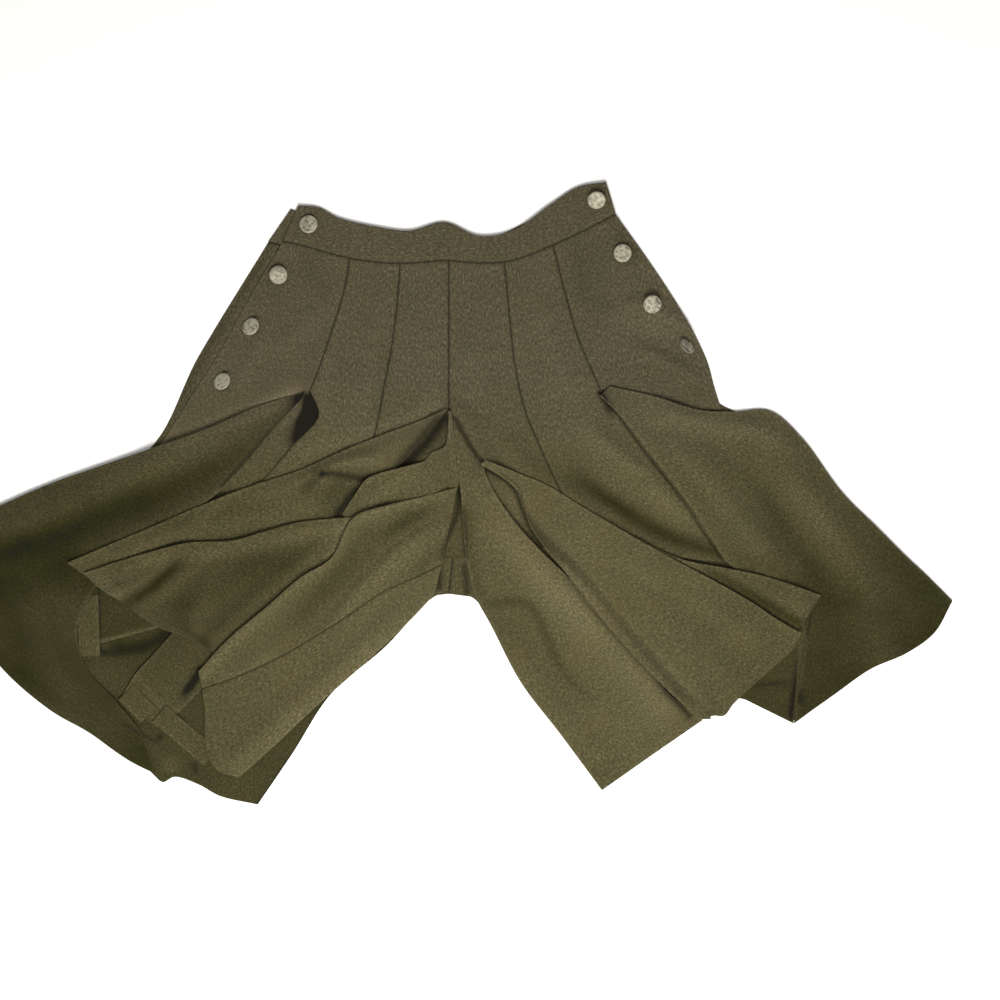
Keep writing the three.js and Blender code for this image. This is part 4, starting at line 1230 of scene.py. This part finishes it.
flapLeft3Inner = {
    "name": "flap_left_3_inner", "tone": (1.25, 1.2, 1.0, 0.75), "foldB": 14, "insetA": halfGap,
    "sewn": "a",
    "sections": list(zip(legSeam, legInseam)),
    "creases": [(6, 15, opens, (-31, -125), (-109, -192), (-190, -263), (-243, -309))],
}
flapLeft3Inner["end"] = alongHem([
    (-282, -225), (-279, -251), (-279, -273), (-277, -296), (-266, -318), (-240, -328),
])

backLeft["calm"] = backRight["calm"] = backBand["calm"] = 0
for sheet in (flareLeft, flareRight, flapRight, flapLeft2, flapLeft3Inner, legFlapRight):
    sheet["hem"] = True

layLayer([backLeft, backRight, backBand], onTable=True)
for sheets in (
    [*pleatUnderlays, riseFront, *riseBack, *hemLeaves, underPleatRight],
    [*hemTurnUps, legLeafRight],
    [legFlapRight],
    [frontBand, *frontPanels],
    [flareLeft, flareRight],
    [flapRightUnder, flapLeft1],
    [flapRight],
    [flapLeft1b],
    [flapLeft2],
    [flapLeft3, flapLeft3Inner],
):
    layLayer(sheets)
for name, width, length, area, triangles in cut:
    print(f"cut {name}: {width * 100:.1f} x {length * 100:.1f} cm, {area:.4f} m2, {triangles} tris")

# Shank buttons of cast pewter down both sides, leaning as they lie.
button = {
    "diameter": 21,
    "height": 3.0,
    "shank": 2.2,
    "shankRadius": 1.6,
    "rim": 2.35,  # height where the face starts
    "crown": 0.12,  # and how far the face stands above it
    "sides": 64,
    "dents": ((2.6, 0.26, 40), (1.2, 0.2, 60)),  # size, depth and seed of the hammer marks
    "wobble": 0.018,  # how far the edge strays from round
    "lift": 0.15,  # room between the shank and the cloth
    # lean is the rise of the face per unit of X and Y, patina how much darker its colour is made,
    # lighter where negative
    "rows": [
        {"name": "button_left_1", "at": (-159, 309), "lean": (0.1, -0.1)},
        {"name": "button_left_2", "at": (-194, 251), "lean": (0, 0.05)},
        {"name": "button_left_3", "at": (-225, 191), "lean": (0.4, -0.32), "patina": -0.12},
        {"name": "button_left_4", "at": (-258, 128), "lean": (0.42, -0.4), "patina": -0.12},
        {"name": "button_right_1", "at": (172, 337), "lean": (0, 0.4)},
        {"name": "button_right_2", "at": (202, 276), "lean": (0, 0)},
        {"name": "button_right_3", "at": (236, 217), "lean": (0, 0.3)},
        {"name": "button_right_4", "at": (275, 168), "lean": (-0.95, -0.95), "patina": 0.26},
    ],
}

pewter = {"high": "#9f9a85", "low": "#4f4c3f", "roughness": 0.6, "metallic": 0.35, "pit": 0.9}


# Cast pewter with a hammered face: dull, soft highlights and a dark patina in the hollows.
def makePewter(name, settings):
    material, tree = newMaterial(name)
    place = addNode(tree, "ShaderNodeTexCoord").outputs["Object"]
    worn = addNode(tree, "ShaderNodeAttribute", attribute_name="relief").outputs["Fac"]
    pits = noise(tree, place, settings["pit"], 4.0, 0.6)
    depth = calculate(tree, "MULTIPLY_ADD", pits, 0.9, -0.45)
    ramp = addNode(tree, "ShaderNodeValToRGB", {"Fac": calculate(tree, "ADD", worn, depth)})
    for element, at, key in zip(ramp.color_ramp.elements, (0.1, 0.75), ("low", "high")):
        element.position, element.color = at, toLinear(settings[key])
    bump = addNode(
        tree, "ShaderNodeBump", {"Height": pits, "Strength": 0.5, "Distance": 0.0003}
    ).outputs["Normal"]
    addSurface(tree, {
        "Base Color": ramp.outputs["Color"], "Roughness": settings["roughness"],
        "Metallic": settings["metallic"], "Normal": bump,
    })
    return material


def makeButton(row, order):
    radius, sides, height = button["diameter"] / 2, button["sides"], button["height"]
    shank, rim, crown = button["shank"], button["rim"], button["crown"]
    # radius and height of each ring, from the shank up round the edge to the middle of the face
    edge = [
        (0.0, -shank), (button["shankRadius"], -shank), (button["shankRadius"], 0.0),
        (radius * 0.82, 0.2), (radius * 0.96, 0.8), (radius, 1.4), (radius * 0.98, 2.0),
        (radius * 0.94, rim),
    ]
    face = [
        (radius * share, rim + (height - rim) * (1 - share**2) + crown)
        for share in (0.88, 0.8, 0.7, 0.6, 0.5, 0.4, 0.3, 0.2, 0.1)
    ]
    turns = np.arange(sides) * 2 * math.pi / sides
    points, relief = [(0.0, 0.0, -shank)], [0.2]
    for k, (r, z) in enumerate((*edge[1:], *face)):
        for turn in turns:
            x, y = r * math.cos(turn), r * math.sin(turn)
            dent = sum(
                deep * float(unevenness(x, y, wide, seed + order))
                for wide, deep, seed in button["dents"]
            )
            dent *= k >= len(edge) - 1
            stray = float(unevenness(4 * x / r, 4 * y / r, 1.1, 80 + order)) * (k > 2)
            out = 1 + button["wobble"] * stray
            points.append((x * out, y * out, z + dent))
            relief.append(0.55 + dent * 1.3 - row.get("patina", 0))
    points.append((0.0, 0.0, height + crown))
    relief.append(0.6)
    last = 1 + (len(edge) + len(face) - 2) * sides
    faces = []
    for side in range(sides):
        after = (side + 1) % sides
        faces.append((0, 1 + after, 1 + side))
        for low in range(1, last, sides):
            high = low + sides
            faces.append((low + side, low + after, high + after, high + side))
        faces.append((last + side, last + after, len(points) - 1))
    points = np.array(points)

    x, y = row["at"]
    at = lambda dx, dy: float(readMap(highest, np.array(x + dx), np.array(y + dy)))
    slopeX = (at(radius, 0) - at(-radius, 0)) / (2 * radius) + row["lean"][0]
    slopeY = (at(0, radius) - at(0, -radius)) / (2 * radius) + row["lean"][1]
    normal = Vector((-slopeX, -slopeY, 1)).normalized()
    turn = np.array(Vector((0, 0, 1)).rotation_difference(normal).to_matrix())
    spin = np.array(Matrix.Rotation(order * 1.3, 3, "Z"))
    points = points @ spin.T @ turn.T
    ground = readMap(highest, x + points[:, 0], y + points[:, 1])
    lift = float(np.max(ground - points[:, 2])) + button["lift"]
    points = (points + np.array([x, y, lift])) / 1000

    piece = makeMesh(row["name"] + "_pewter", points.tolist(), faces)
    addValues(piece, "relief", relief)
    piece.data.materials.append(castPewter)
    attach(piece, "root")
    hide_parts(row["name"])


castPewter = makePewter("cast pewter", pewter)
for order, row in enumerate(button["rows"]):
    makeButton(row, order)
print("buttons made")

# Plain pale floor, soft light and the camera straight above, in metres.
studio = {
    "floor": "#f4f3f0",
    "floorEdge": 6.0,
    "floorLow": -0.0004,
    "air": "#fbfbff",
    "world": 0.5,
    "keyPower": 58,
    "keyColour": (1.0, 0.97, 0.92),
    "keyAt": (0.12, -1.05, 1.7),
    "keyTo": (0.02, -0.02, 0.0),
    "keySize": 1.0,
    "cameraHeight": 3.6,
    "view": 1.15,  # width of the frame
    "focus": 0.008,  # height at which it is that wide
    "sensor": 36,  # mm
    "middle": (0.061, -0.008),
}


def makeStudio():
    material, tree = newMaterial("matt paper")
    addSurface(tree, {
        "Base Color": toLinear(studio["floor"]), "Roughness": 0.9, "Specular IOR Level": 0.2,
    })
    edge, low = studio["floorEdge"], studio["floorLow"]
    corners = [(-edge, -edge, low), (edge, -edge, low), (edge, edge, low), (-edge, edge, low)]
    floor = makeMesh("floor", corners, [(0, 1, 2, 3)])
    floor.data.materials.append(material)

    scene = bpy.context.scene
    scene.world = bpy.data.worlds.new("soft room")
    scene.world.use_nodes = True
    shade = scene.world.node_tree.nodes["Background"]
    shade.inputs["Color"].default_value = toLinear(studio["air"])
    shade.inputs["Strength"].default_value = studio["world"]

    lamp = bpy.data.lights.new("key", "AREA")
    lamp.shape, lamp.size = "SQUARE", studio["keySize"]
    lamp.energy, lamp.color = studio["keyPower"], studio["keyColour"]
    key = bpy.data.objects.new("key", lamp)
    key.location = studio["keyAt"]
    aim = Vector(studio["keyTo"]) - Vector(studio["keyAt"])
    key.rotation_euler = aim.to_track_quat("-Z", "Y").to_euler()
    scene.collection.objects.link(key)

    lens = bpy.data.cameras.new("camera")
    lens.sensor_width = studio["sensor"]
    lens.lens = studio["sensor"] * (studio["cameraHeight"] - studio["focus"]) / studio["view"]
    camera = bpy.data.objects.new("camera", lens)
    camera.location = (*studio["middle"], studio["cameraHeight"])
    scene.collection.objects.link(camera)
    scene.camera = camera
    scene.view_settings.view_transform = "Standard"
    scene.view_settings.look = "None"


makeStudio()
print("studio made")
